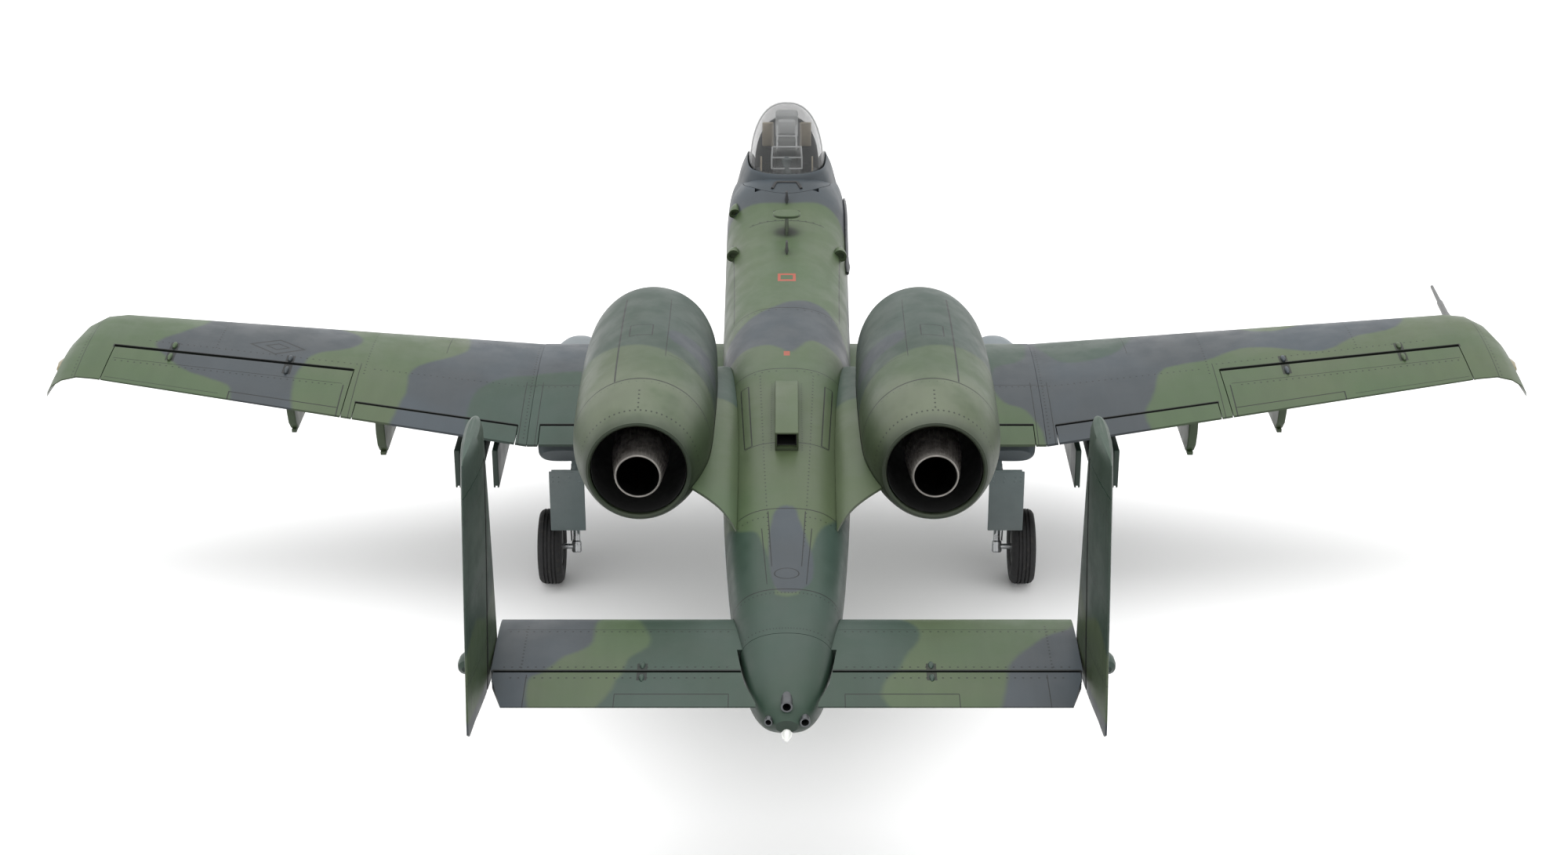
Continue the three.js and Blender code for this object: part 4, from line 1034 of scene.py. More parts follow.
def build_wing():
    centre = wing_loft(CENTRE_ROWS)
    flap_s, flap_z, flap_r = 8.72, WING_Z + 0.022, 0.062 * M
    for side, sign in SIDES.items():
        x0, x1 = sorted((FLAP_ROOT_X * sign, FLAP_END_X * sign))
        hinge = at(x0, flap_s, flap_z), at(x1, flap_s, flap_z)
        centre, flap = cut_surface(centre, *hinge, flap_r, flap_r,
                                   behind_hinge(x0, flap_s, x1, flap_s, BEHIND_WING))
        wing_camouflage(flap, side)
        name = f"flap_inner_{side}"
        piece(flap, name + ".fine", name, SKIN["wing"], [name])
    camouflage(centre, plan_view, LEFT_WING_GREY + RIGHT_WING_GREY, LEFT_WING_DARK + RIGHT_WING_DARK)
    piece(centre, "wing_center.fine", "airframe", SKIN["wing"], ["wing_center"])

    panel, flap = cut_from_panel(wing_loft(PANEL_ROWS), OUTER_FLAP, LIP)
    panel, aileron = cut_from_panel(panel, AILERON, WIDE_LIP)
    both(flap, "flap_outer", "flap_outer", SKIN["wing"], paint=wing_camouflage)
    both(aileron, "aileron", "aileron", SKIN["wing"], paint=wing_camouflage)
    both(panel, "wing_panel", "airframe", SKIN["wing"], paint=wing_camouflage)


def hinge_cover(x, s, z, length, half=0.035, height=0.03):
    """A small humped fairing over a hinge, along s."""
    rings = []
    for t in spread(0, 1, 13):
        swell = math.sin(math.pi * min(max(t, 0.04), 0.96)) ** 0.5
        rings.append([at(x + half * swell * math.sin(a), s + length * (t - 0.5),
                         z + height * swell * math.cos(a))
                      for a in spread(0, 2 * math.pi, 20, False)])
    return loft(rings)


def wing_top(x, s):
    """The panel's upper surface at x, s."""
    lead, trail = (line_at((PANEL_ROOT_X, a), (TIP_PANEL_X, b), x) for a, b in ((6.1, 6.8), (9.08, 8.72)))
    t = (s - lead) / (trail - lead)
    chord = trail - lead
    return panel_z(x) + 4 * CAMBER * chord * t * (1 - t) + half_thickness(t, chord, THICKNESS)


def build_wing_fittings():
    for x, skin in ((6.0, SKIN["grey"]), (7.38, SKIN["plain"])):
        cover = hinge_cover(x, 7.84, wing_top(x, 7.84) + 0.005, 0.16, 0.03, 0.035)
        both(cover, f"hinge_cover_{round(x)}", "airframe", skin, False)
        tail = hinge_cover(x, 8.12, wing_top(x, 8.12), 0.2, 0.028, 0.04)
        both(tail, f"aileron_arm_{round(x)}", "aileron", skin, False)
    lamp = tube([(8.74, 7.66, 2.03, 0.02), (8.775, 7.7, 2.03, 0.045), (8.79, 7.8, 2.02, 0.055),
                 (8.775, 7.92, 2.02, 0.045), (8.74, 7.96, 2.02, 0.02)], 20)
    both(lamp, "tip_lamp", "airframe", TIP_LAMP, False)
    probe = tube([(8.2, *row) for row in (
        (6.0, 2.36, 0.012), (6.01, 2.36, 0.02), (6.38, 2.322, 0.026), (6.42, 2.318, 0.028),
        (6.46, 2.315, 0.038), (6.76, 2.285, 0.04), (6.95, 2.28, 0.05))])
    cut(probe, bar(at(8.2, 5.9, 2.37), at(8.2, 6.06, 2.354), 0.009 * M))
    piece(probe, "pitot_probe.fine", "airframe", HUB_METAL, ["pitot_probe"])


# ---------- fuselage ----------

# Degrees from the top, positive to the right, and s
FUSELAGE_GREY = [degrees_outline(o) for o in (
    [(-180, -1), (-180, 5.2), (-120, 5.4), (-80, 5.3), (-62, 4.95), (-48, 4.72), (-28, 4.74), (0, 4.84),
     (28, 4.74), (46, 4.85), (58, 5.2), (72, 6.0), (100, 6.4), (140, 6.0), (180, 5.2), (180, -1)],
    [(-130, 9.4), (-100, 8.7), (-75, 8.55), (-45, 8.4), (-28, 8.22), (-10, 8.02), (0, 7.88), (14, 7.82),
     (30, 7.9), (42, 8.12), (60, 8.5), (80, 8.6), (110, 8.9), (140, 9.4), (140, 10.3), (100, 10.0), (80, 9.5),
     (55, 9.1), (30, 9.0), (18, 9.0), (10, 9.2), (3, 9.36), (-6, 9.24), (-16, 9.14), (-45, 9.12), (-75, 9.5),
     (-100, 10.2)],
    [(-6, 12.82), (8, 12.84), (15, 13.1), (24, 13.42), (32, 13.7), (34, 14.1), (18, 14.32), (0, 14.36),
     (-16, 14.3), (-23, 13.9), (-21, 13.4), (-15, 13.0)],
)]
# Dark-green patches; those on the sides and belly are camouflage and also painted shade on the fuselage's
# lower sides
FUSELAGE_DARK = [degrees_outline(o) for o in (
    [(-180, 14.2), (-60, 14.3), (-25, 14.36), (0, 14.42), (25, 14.36), (60, 14.2), (180, 14.2), (180, 17),
     (-180, 17)],
    [(-180, 12.4), (-90, 12.6), (-50, 13.1), (-30, 13.4), (-28, 14.6), (-180, 14.6)],
    [(180, 11.8), (90, 12.2), (50, 12.9), (33, 13.4), (30, 14.6), (180, 14.6)],
    [(66, 5.6), (60, 7.0), (64, 8.4), (90, 8.4), (180, 8.2), (180, 5.4), (100, 5.4)],
    [(-180, 6.0), (-95, 6.2), (-80, 7.2), (-90, 8.2), (-180, 8.6)],
)]


def fuselage_camouflage(obj):
    camouflage(obj, fuselage_view, FUSELAGE_GREY, FUSELAGE_DARK)
    field(obj, "around", fuselage_angle(vertices(obj)))


GUN_Z = 1.46
SILL = 2.62  # the height of the canopy hatch's lower edge
HATCH_S = (1.9, 4.62)
HATCH_HALF = 0.58
HATCH_BEND = 3.92


def hatch_region(gap):
    g = gap / M
    side = HATCH_HALF + 0.3 + g
    outline = [(-side, HATCH_S[0]), (-side, HATCH_BEND - 0.2)]
    for i in range(33):
        a = math.pi * (1 - i / 32)
        reach = HATCH_S[1] - HATCH_BEND + g
        outline.append(((HATCH_HALF + g) * math.cos(a), HATCH_BEND + reach * math.sin(a)))
    return plan_prism(outline + [(side, HATCH_BEND - 0.2), (side, HATCH_S[0])], SILL - g, 4)


def cockpit_outline(grow):
    turn = [2 * math.pi * i / 64 for i in range(64)]
    return [((0.37 + grow) * powered(math.cos(a), 3), 3.2 + (0.8 + grow) * powered(math.sin(a), 3))
            for a in turn]


def reaching(rows, reach):
    return [(math.copysign(reach, row[0]), *row[1:]) for row in rows]


FIN_X = 2.915
FIN_HALF = 0.128
TAIL_Z = 2.0
TAIL_HALF_SPAN = FIN_X - FIN_HALF - SEAM / M
TAIL_ROWS = [(sign * TAIL_HALF_SPAN, 14.28, 15.95, TAIL_Z, 0.105, 0) for sign in (-1, 1)]


def build_fuselage():
    whole = fuselage_between(NOSE_JOINT + SEAM / M, TAIL_JOINT - SEAM / M)
    hatch = copy_of(whole)
    boolean(hatch, hatch_region(0), "INTERSECT")
    cut(hatch, plan_prism(cockpit_outline(0), 2, 4))
    cut(whole, hatch_region(SEAM), block(0.11, 0.45, 1.14, 3.24, 0, 1.58),
        block(-0.42, 0.42, 2.15, 6.2, 1.72, 2.5),
        block(-0.42, 0.42, 2.15, 4.5, 2.3, 3.4))
    slot = wing_loft(reaching(TAIL_ROWS, 1), SEAM)
    cut(whole, boolean(slot, block(-1, 1, 14, TAIL_JOINT + 0.3, 1.5, 2.5), "INTERSECT"))
    cut(whole, wing_loft(reaching(CENTRE_ROWS, 1.1), SEAM))
    for obj, name, body, slot in ((largest(whole), "fuselage", "airframe", "painted_foam"),
                                  (largest(hatch), "hatch_frame", "hatch", "grey_foam")):
        fuselage_camouflage(obj)
        piece(obj, name + ".fine", body, SKIN["fuselage"], [name])
    nose = fuselage_between(0.3, NOSE_JOINT, step=0.03)
    cut(nose, drill(at(0, 0.1, GUN_Z), at(0, 0.92, GUN_Z), 0.135, 64))
    fuselage_camouflage(nose)
    piece(nose, "nose_cap.fine", "airframe", SKIN["fuselage"], ["nose_cap"])


# Vents at the cone's end: x, s, z and radius
TAIL_PORTS = (0.0, 15.93, 2.02, 0.055), (-0.17, 15.97, 1.88, 0.038), (0.17, 15.97, 1.88, 0.05)


def build_tail_cone():
    cone = fuselage_between(TAIL_JOINT, 16.06, step=0.03)
    rims = []
    for x, s, z, radius in TAIL_PORTS:
        mouth, root = at(x, s + 0.07, z + 0.01), at(x * 0.8, s - 0.2, z)
        cut(cone, rod([mouth + (mouth - root), root], [radius * M * 0.78] * 2, 32))
        vent = rod([mouth, root], [radius * M] * 2, 40)
        cut(vent, rod([mouth + (mouth - root), root + (mouth - root) * 0.15], [radius * M * 0.7] * 2, 40))
        rims.append(rounded(vent, 0.3 * MM, 2, 50))
    fuselage_camouflage(cone)
    piece(largest(cone), "tail_cone.fine", "airframe", SKIN["fuselage"], ["tail_cone"])
    piece(gather(*rims), "tail_ports", "airframe", GUNMETAL)
    lamp = tube([(0, 15.95, 1.83, 0.05), (0, 16.02, 1.79, 0.052), (0, 16.1, 1.77, 0.045),
                 (0, 16.14, 1.765, 0.02)])
    piece(lamp, "tail_lamp", "airframe", LAMP)


def fuselage_frame(s, degrees, out=0.0):
    """A point on the skin with its outward and aft directions."""
    a = math.radians(degrees)
    p = fuselage_point(s, a, out)
    aft = (fuselage_point(s + 0.05, a, out) - fuselage_point(s - 0.05, a, out)).normalized()
    round_it = (fuselage_point(s, a + 0.02, out) - fuselage_point(s, a - 0.02, out)).normalized()
    outward = aft.cross(round_it).normalized()
    return p, -outward if outward.dot(p - at(0, s, FUSELAGE_AXIS_Z)) < 0 else outward, aft


def scoop(s, degrees, length=0.3, width=0.085, height=0.1):
    """A teardrop blister that ends in an open dark mouth facing aft."""
    p, out, aft = fuselage_frame(s, degrees)
    side = out.cross(aft)
    rings = []
    for t in spread(0, 1, 15):
        r = max(0.02, math.sin(math.pi / 2 * t) ** 0.8)
        centre = p + aft * (length * (t - 0.6) * M) + out * (height * 0.35 * r * M)
        rings.append([centre + (width * r * M) * math.sin(a) * side
                      + (height * r * M * 0.75) * math.cos(a) * out
                      for a in spread(0, 2 * math.pi, 28, False)])
    body = loft(rings)
    back = p + aft * (length * 0.4 * M) + out * (height * 0.35 * M)
    return cut(body, drill(back + aft * 0.02, back - aft * 0.03 * M, width * 0.55, 28))


def blade(s, length, height, half=0.022):
    """A small upright blade aerial on the spine."""
    top = fuselage_point(s, 0).z
    rings = []
    for t in spread(0, 1, 9):
        chord = length * (1 - 0.55 * t) * M
        thick = half * (1 - 0.5 * t) * M
        y = at(0, s + 0.3 * length * t, 0).y
        rings.append([Vector((thick * math.sin(a) * (0.6 + 0.4 * math.cos(a)), y + chord / 2 * math.cos(a),
                              top + (height * (t * 1.05 - 0.05)) * M))
                      for a in spread(0, 2 * math.pi, 24, False)])
    return loft(rings)


def build_fuselage_fittings():
    scoops = gather(scoop(5.75, 53), scoop(5.75, -53), scoop(4.6, -53, 0.26, 0.075, 0.085))
    piece(scoops, "side_scoops", "airframe", SKIN["plain"])
    blades = gather(blade(4.78, 0.2, 0.14, 0.034), blade(6.28, 0.22, 0.16, 0.034))
    piece(blades, "spine_blades", "airframe", BLACK)
    rings = []
    for z, s0, s1, half in ((2.9, 5.4, 5.8, 0.045), (3.02, 5.44, 5.76, 0.036), (3.12, 5.5, 5.73, 0.03),
                            (3.19, 5.53, 5.7, 0.034)):
        rings.append([at(half * math.sin(a) * (0.65 + 0.35 * math.cos(a)),
                         (s0 + s1) / 2 - (s1 - s0) / 2 * math.cos(a), z)
                      for a in spread(0, 2 * math.pi, 32, False)])
    mast = loft(rings)
    plate = []
    for z, share in ((3.178, 0.9), (3.186, 1.0), (3.21, 1.0), (3.218, 0.93)):
        plate.append([at(0.175 * share * powered(math.sin(a), 3),
                         5.63 - 0.13 * share * powered(math.cos(a), 2.4), z)
                      for a in spread(0, 2 * math.pi, 64, False)])
    piece(fuse(mast, loft(plate)), "blade_antenna.fine", "airframe", SKIN["plain"],
          ["blade_antenna"])

    rail = [fuselage_frame(s, 72, 1.6 * MM)[0] for s in spread(3.7, 5.9, 14)]
    radii = [0.014 * M] + [0.024 * M] * 10 + [0.028 * M, 0.04 * M, 0.022 * M]
    piece(rod(rail, radii, 20), "side_rail", "airframe", GUNMETAL)

    latch = [(-0.19, 4.52), (-0.145, 4.39), (-0.12, 4.37), (0.12, 4.37), (0.145, 4.39), (0.19, 4.52)]
    latch_top = []
    for x, s in latch:
        skin = fuselage_point(s, math.asin(abs(x) / FUSELAGE_HALF) * 0.6)
        latch_top.append(Vector((x * M, at(x, s, 0).y, skin.z + 0.2 * MM)))
    piece(rod(latch_top, [0.02 * M] * 6, 12), "hatch_latch", "hatch", BLACK)

    duct = side_prism([(10.12, 2.6), (10.12, 2.8), (10.3, 2.865), (10.5, 2.91), (11.7, 2.87), (11.7, 2.5)],
                      -0.125, 0.125)
    rounded(duct, 0.9 * MM, 3)
    cut(duct, block(-0.105, 0.105, 10.9, 11.9, 2.69, 2.85), fuselage_between(9, 12.9, SEAM))
    piece(largest(duct), "dorsal_duct.fine", "airframe", SKIN["plain"], ["dorsal_duct"], 50)
    # a near-black liner inside the duct's mouth, painted shade for the dark inside
    liner = block(-0.104, 0.104, 10.92, 11.62, 2.691, 2.849)
    cut(liner, block(-0.096, 0.096, 11.0, 11.8, 2.699, 2.841))
    piece(liner, "duct_liner", "airframe", DUCT_SHADE_BLACK)


def build_gun():
    plates = ([(0.72, 0.118), (0.74, 0.122), (0.88, 0.122), (0.9, 0.118)],
              [(0.16, 0.104), (0.165, 0.114), (0.215, 0.114), (0.22, 0.104)])
    barrels = [turned(profile, at(0, 0, GUN_Z), AFT, 48, False) for profile in plates]
    for i in range(7):
        a = 2 * math.pi * i / 7
        x, z = 0.08 * math.cos(a), GUN_Z + 0.08 * math.sin(a)
        barrel = bar(at(x, 0.04, z), at(x, 0.8, z), 0.022 * M, sides=20)
        barrels.append(cut(barrel, drill(at(x, 0, z), at(x, 0.14, z), 0.013, 16)))
    piece(gather(*barrels), "gun_barrels.fine", "airframe", GUNMETAL, ["gun_barrels"])


# ---------- cockpit and canopy ----------

# s, half width, top
CANOPY = [
    (1.92, 0.28, 2.72), (2.2, 0.41, 3.22), (2.6, 0.49, 3.66), (3.0, 0.52, 3.9), (3.3, 0.53, 3.95),
    (3.65, 0.52, 3.85), (3.9, 0.49, 3.66), (4.08, 0.42, 3.44), (4.18, 0.34, 3.22),
]
CANOPY_WAIST = 2.98


def dome(inset):
    rings = []
    for s in spread(1.92 + inset, 4.18 - inset, 60):
        half, top = table_at(CANOPY, s)
        arch = canopy_arch(s, inset, min(CANOPY_WAIST, top - 0.2), spread(0, math.pi, 49))
        rings.append(arch + [at(-half + inset, s, 2.5 - inset), at(half - inset, s, 2.5 - inset)])
    return loft(rings, "dome")


def build_canopy():
    canopy = dome(0)
    cut(canopy, dome(0.016), fuselage_between(1.5, 5.5, SEAM))
    piece(largest(canopy), "canopy_glass.fine", "hatch", GLASS, ["canopy_glass"], 60)


def build_canopy_sill():
    """The coaming that the glass stands in, round both sides and the back of the canopy."""
    crest = [(2.05, 2.55), (2.4, 2.93), (2.7, 3.09), (3.0, 3.19), (3.6, 3.24), (4.1, 3.27), (4.4, 3.27)]
    side = [(table_at(CANOPY, s)[0], s) for s in spread(2.1, 4.02, 26)]
    side += [(0.36, 4.13), (0.29, 4.2), (0.15, 4.24)]
    path = side + [(0.0, 4.25)] + [(-x, s) for x, s in side[::-1]]
    rings = []
    for i, (x, s) in enumerate(path):
        (x0, s0), (x1, s1) = path[max(i - 1, 0)], path[min(i + 1, len(path) - 1)]
        run = math.hypot(x1 - x0, s1 - s0)
        out_x, out_s = (s1 - s0) / run, -(x1 - x0) / run
        top = table_at(crest, s)[0]
        rings.append([at(x + out_x * out, s + out_s * out, top - drop) for out, drop in (
            (-0.02, 0.03), (0.0, 0.0), (0.012, 0.005), (0.03, 0.05), (0.055, 0.1), (0.08, 0.16),
            (0.105, 0.24), (0.13, 0.34), (0.165, 0.47), (0.2, 0.62), (-0.02, 0.62))])
    sill = loft(rings)
    fuselage_camouflage(sill)
    piece(sill, "canopy_sill", "hatch", SKIN["fuselage"], sharp=50)


def canopy_arch(s, inset, foot, angles):
    """Points over the canopy's section at s, inset from its skin, from a foot height up and over."""
    half, top = table_at(CANOPY, s)
    return [at((half - inset) * powered(math.cos(a), 2.4), s,
               foot + (top - inset - foot) * powered(math.sin(a), 2.2)) for a in angles]


def arch_rod(s, inset, radius):
    path = canopy_arch(s, inset, CANOPY_WAIST, spread(0.05, math.pi - 0.05, 28))
    return rod(path, [radius * M] * len(path), 12)


def build_cockpit():
    tub = plan_prism(cockpit_outline(-SEAM / M), 2.16, 2.74)
    cut(tub, plan_prism(cockpit_outline(-0.035), 2.2, 3))
    panel = block(-0.2, 0.2, 2.52, 2.68, 2.21, 3.02, 1.2 * MM)
    gauges = []
    for z in (2.62, 2.76, 2.9):
        for x in (-0.12, -0.04, 0.04, 0.12):
            gauges.append(turned([(2.675, 0.026), (2.7, 0.03), (2.705, 0.026), (2.7, 0.02), (2.69, 0.02)],
                                 at(x, 0, z), AFT, 24))
    piece(gather(tub, panel, *gauges), "cockpit_tub.fine", "hatch", COCKPIT_DARK,
          ["cockpit_tub"])
    sides = []
    for sign in (-1, 1):
        x0, x1 = sorted((sign * 0.2, sign * 0.325))
        sides.append(block(x0, x1, 2.62, 3.86, 2.5, 2.7, 1.0 * MM))
        for s in spread(2.75, 3.7, 8):
            sides.append(rounded(block(x0 + 0.025, x1 - 0.025, s, s + 0.08, 2.69, 2.725), 0.4 * MM, 2))
    piece(gather(*sides), "side_consoles", "hatch", COCKPIT)
    wall = [(2.45, 2.72), (3.5, 2.72), (3.4, 2.98), (3.0, 3.12), (2.6, 2.98)]
    liners = [side_prism(wall, sign * 0.34, sign * 0.36) for sign in (-1, 1)]
    piece(gather(*liners), "cockpit_liners", "hatch", TAN)
    shelf = block(-0.3, 0.3, 3.86, 3.97, 2.74, 3.02, 1.5 * MM)
    deck = block(-0.09, 0.09, 3.9, 4.12, 3.0, 3.14, 1.5 * MM)
    piece(gather(shelf, deck), "rear_deck", "hatch", COCKPIT)
    frame_rods = [arch_rod(3.05, 0.03, 0.01)]
    for sign in (-1, 1):
        for run in (((0.125, 3.4, 3.68), (0.125, 3.62, 3.6), (0.13, 3.85, 3.5)),
                    ((0.19, 3.84, 3.52), (0.2, 3.93, 3.4), (0.2, 4.0, 3.27))):
            frame_rods.append(tube([(sign * x, s, z, 0.012) for x, s, z in run], 12))
    for s, z, half in ((3.62, 3.6, 0.125), (3.84, 3.52, 0.19), (3.93, 3.4, 0.2), (4.0, 3.27, 0.2)):
        frame_rods.append(bar(at(-half, s, z), at(half, s, z), 0.011 * M, sides=12))
    piece(gather(*frame_rods), "canopy_frame", "hatch", HEADREST)
    strip = tube([(0, 3.9, 3.4, 0.04), (0, 3.92, 3.36, 0.07), (0, 4.0, 3.2, 0.075), (0, 4.06, 3.06, 0.07)])
    piece(strip, "deck_strip", "hatch", SKIN["pale"])
    build_glareshield()
    build_seat()


def build_glareshield():
    """The dark hood over the instruments, just inside the front of the glass, with a tan pad at each side."""
    rings = []
    for s in spread(2.16, 2.64, 14):
        half, top = table_at(CANOPY, s)
        high = min(top - 0.05, 3.56)
        arch = [at((half - 0.05) * powered(math.cos(a), 2.4), s,
                   2.74 + (high - 2.74) * powered(math.sin(a), 2.6))
                for a in spread(0.02, math.pi - 0.02, 41)]
        rings.append(arch)
    hood = loft(rings)
    rows = [rounded(block(-0.3, 0.3, 2.62, 2.66, z - 0.008, z + 0.008), 0.3 * MM, 2) for z in (2.9, 3.1)]
    piece(gather(hood, *rows), "glareshield", "hatch", COCKPIT_DARK, sharp=40)
    pads = [block(x0, x1, 2.65, 2.7, 3.16, 3.5, 1.4 * MM) for x0, x1 in ((-0.335, -0.18), (0.18, 0.335))]
    piece(gather(*pads), "side_pads", "hatch", TAN)


def build_seat():
    pan = block(-0.17, 0.17, 3.28, 3.62, 2.21, 2.42, 2.5 * MM)
    rails = [bar(at(x, 3.8, 2.25), at(x, 3.8, 3.5), 0.022 * M, sides=16) for x in (-0.15, 0.15)]
    back = block(-0.18, 0.18, 3.62, 3.8, 2.3, 3.36, 3.0 * MM)
    piece(gather(back, pan, *rails), "pilot_seat.fine", "hatch", COCKPIT, ["pilot_seat"])
    cushion = block(-0.145, 0.145, 3.34, 3.6, 2.42, 2.5, 3.0 * MM)
    pad = block(-0.14, 0.14, 3.555, 3.63, 2.5, 3.2, 2.8 * MM)
    for obj in (cushion, pad):
        soften(obj)
    piece(cushion, "seat_cushion", "hatch", STRAP)
    piece(pad, "seat_back_pad", "hatch", STRAP)
    neck = block(-0.13, 0.13, 3.36, 3.74, 3.34, 3.58, 2.0 * MM)
    piece(neck, "seat_head_frame", "hatch", COCKPIT)
    head = block(-0.15, 0.15, 3.12, 3.38, 3.5, 3.82, 2.8 * MM)
    cap = block(-0.115, 0.115, 3.34, 3.44, 3.54, 3.76, 2.0 * MM)
    piece(gather(head, cap), "headrest", "hatch", HEADREST)
    straps = [tube([(x, 3.56, 3.22, 0.016), (x, 3.535, 3.1, 0.016), (x * 0.8, 3.525, 2.8, 0.016),
                    (x * 0.5, 3.5, 2.56, 0.016)], 10) for x in (-0.075, 0.075)]
    piece(gather(*straps), "seat_harness", "hatch", STRAP)


def soften(obj):
    """Crowns a padded block a little by pushing its faces' middles outwards."""
    modifier = obj.modifiers.new("soften", "SUBSURF")
    modifier.levels = 1
    bake_modifiers(obj)


# ---------- tail ----------

FIN_ROWS = [
    (1.8, 14.28, 16.14, 0.07), (1.86, 14.26, 16.22, 0.115), (2.0, 14.3, 16.22, 0.12),
    (4.1, 14.74, 15.99, 0.15), (4.36, 14.79, 15.95, 0.15), (4.44, 14.83, 15.93, 0.12),
    (4.47, 14.92, 15.87, 0.07),
]
FIN_LEAN = 0.05
RUDDER_FOOT, RUDDER_TOP = 1.6, 4.14
RUDDER_LEAN = (RUDDER_FOOT, 0.004), (RUDDER_TOP, -0.044)  # z, and the hinge's x from the fin's
ELEVATOR_ROOT_X, ELEVATOR_HINGE_X, ELEVATOR_END_X = 0.25, 0.435, 2.77
TAIL_GREY = [
    [(-3.3, 14.0), (-1.87, 14.0), (-1.86, 14.5), (-1.86, 14.85), (-1.95, 15.02), (-2.12, 15.15),
     (-2.22, 15.3), (-2.32, 15.44), (-2.42, 15.56), (-2.46, 16.4), (-3.3, 16.4)],
    [(3.3, 14.0), (2.9, 14.35), (2.72, 14.6), (2.5, 14.75), (2.35, 14.93), (2.2, 15.1), (2.1, 15.28),
     (2.07, 15.5), (2.04, 16.4), (3.3, 16.4)],
]
TAIL_DARK = [
    [(-1.3, 13.9), (-1.3, 14.85), (-1.38, 15.02), (-1.5, 15.18), (-1.55, 15.45), (-1.62, 15.65),
     (-1.66, 16.4), (0.82, 16.4), (0.88, 15.75), (0.95, 15.5), (1.06, 15.35), (1.13, 15.12), (1.23, 14.92),
     (1.28, 14.75), (1.24, 14.52), (1.08, 14.25), (1.0, 13.9)],
]
FIN_GREY = [[(13.9, 1.2), (13.9, 1.95), (14.6, 2.0), (15.0, 1.9), (15.6, 1.98), (16.6, 1.9), (16.6, 1.2)]]
FIN_DARK = [[(13.9, 2.5), (14.8, 2.7), (15.3, 2.6), (15.8, 2.8), (16.6, 2.6), (16.6, 4.3), (13.9, 4.3)]]


def fin_ring(z, lead, trail, thick):
    foot, top = FIN_ROWS[0][0], FIN_ROWS[-1][0]
    lean = FIN_LEAN * M * (z - foot) / (top - foot)
    ring = section(0, lead, trail, 0, thick, 0)
    return [Vector((FIN_X * M + p.z - at(0, 0, 0).z - lean, p.y, at(0, 0, z).z)) for p in ring]


def fin_loft():
    rings = []
    for a, b in zip(FIN_ROWS, FIN_ROWS[1:]):
        count = max(1, round((b[0] - a[0]) / 0.1))
        rings += [fin_ring(*(np.array(a) + (np.array(b) - np.array(a)) * i / count)) for i in range(count)]
    return loft(rings + [fin_ring(*FIN_ROWS[-1])])


def rudder_line(z):
    return line_at((2.05, 15.4), (4.2, 15.12), z)


def rudder_region(gap, lead):
    l, top = lead / M, RUDDER_TOP - gap / M
    return side_prism([(rudder_line(RUDDER_FOOT) - l, RUDDER_FOOT), (rudder_line(RUDDER_TOP) - l, top),
                       (16.6, top), (16.6, RUDDER_FOOT)], 2, 4)


def beside_cone():
    """The room kept for the tail cone between the two halves of the tail."""
    side = [(0.475, TAIL_JOINT - SEAM / M), (0.43, 15.37), (0.395, 15.6), (0.29, 15.9), (0.26, 16.5)]
    return plan_prism(side + [(-x, s) for x, s in side[::-1]], 1, 3)


def build_tail():
    elevator_s, elevator_r = 15.41, 0.043 * M
    whole = wing_loft(TAIL_ROWS, step=0.1)
    for side, sign in SIDES.items():
        x0, x1 = sorted((ELEVATOR_HINGE_X * sign, ELEVATOR_END_X * sign))
        root, end = sorted((ELEVATOR_ROOT_X * sign, ELEVATOR_END_X * sign))
        source = copy_of(whole)
        hinge = at(x0, elevator_s, TAIL_Z), at(x1, elevator_s, TAIL_Z)
        rest, elevator = cut_surface(source, *hinge, elevator_r, elevator_r,
                                     behind_hinge(root, elevator_s, end, elevator_s, 16.5))
        discard(rest)
        start = elevator_s + 0.07
        swept_end = [(sign * ELEVATOR_END_X, start), (sign * 2.6, 16.1), (sign * FIN_X, 16.1),
                     (sign * FIN_X, start)]
        cut(elevator, plan_prism(swept_end, 1, 3), beside_cone())
        largest(elevator)
        camouflage(elevator, plan_view, TAIL_GREY, TAIL_DARK)
        name = f"elevator_{side}"
        piece(elevator, name + ".fine", name, SKIN["tail"], [name])
    cut(whole, beside_cone(),
        rod([at(-3, elevator_s, TAIL_Z), at(3, elevator_s, TAIL_Z)], [elevator_r + HINGE_GAP] * 2, 64),
        block(-3, 3, elevator_s - LIP / M, 16.5, 1, 3))
    camouflage(whole, plan_view, TAIL_GREY, TAIL_DARK)
    piece(largest(whole), "tailplane.fine", "airframe", SKIN["tail"], ["tailplane"])
    cover = hinge_cover(1.36, 15.28, TAIL_Z + 0.062, 0.13, 0.03, 0.03)
    both(cover, "tail_hinge_cover", "airframe", SKIN["dark"], False)
    arm = hinge_cover(1.36, 15.49, TAIL_Z + 0.045, 0.13, 0.028, 0.03)
    both(arm, "elevator_arm", "elevator", SKIN["dark"], False)

    def fin_paint(obj, side):
        camouflage(obj, fin_view, FIN_GREY, FIN_DARK)

    hinge = [at(FIN_X + lean, rudder_line(z), z) for z, lean in RUDDER_LEAN]
    fin, rudder = cut_surface(fin_loft(), *hinge, 0.072 * M, 0.05 * M, rudder_region, WIDE_LIP)
    both(fin, "fin", "airframe", SKIN["fin"], paint=fin_paint)
    cut(rudder, block(2, 4, 14, 17, 0, 1.8))
    both(largest(rudder), "rudder", "rudder", SKIN["fin"], paint=fin_paint)
    bulge = tube([(3.03, s, 2.05, r) for s, r in (
        (15.02, 0.02), (15.06, 0.05), (15.14, 0.075), (15.24, 0.08), (15.3, 0.07), (15.34, 0.03))], 28)
    both(bulge, "fin_fairing", "airframe", SKIN["dark"], False)
    pins = []
    for z in (2.3, 3.1, 3.9):
        x, s = FIN_X + line_at(*RUDDER_LEAN, z), rudder_line(z) - 0.075
        pins.append(bar(at(x, s, z - 0.02), at(x, s, z + 0.02), 0.02 * M, sides=16))
    both(gather(*pins), "rudder_hinge_pins", "airframe", HUB_METAL, False)


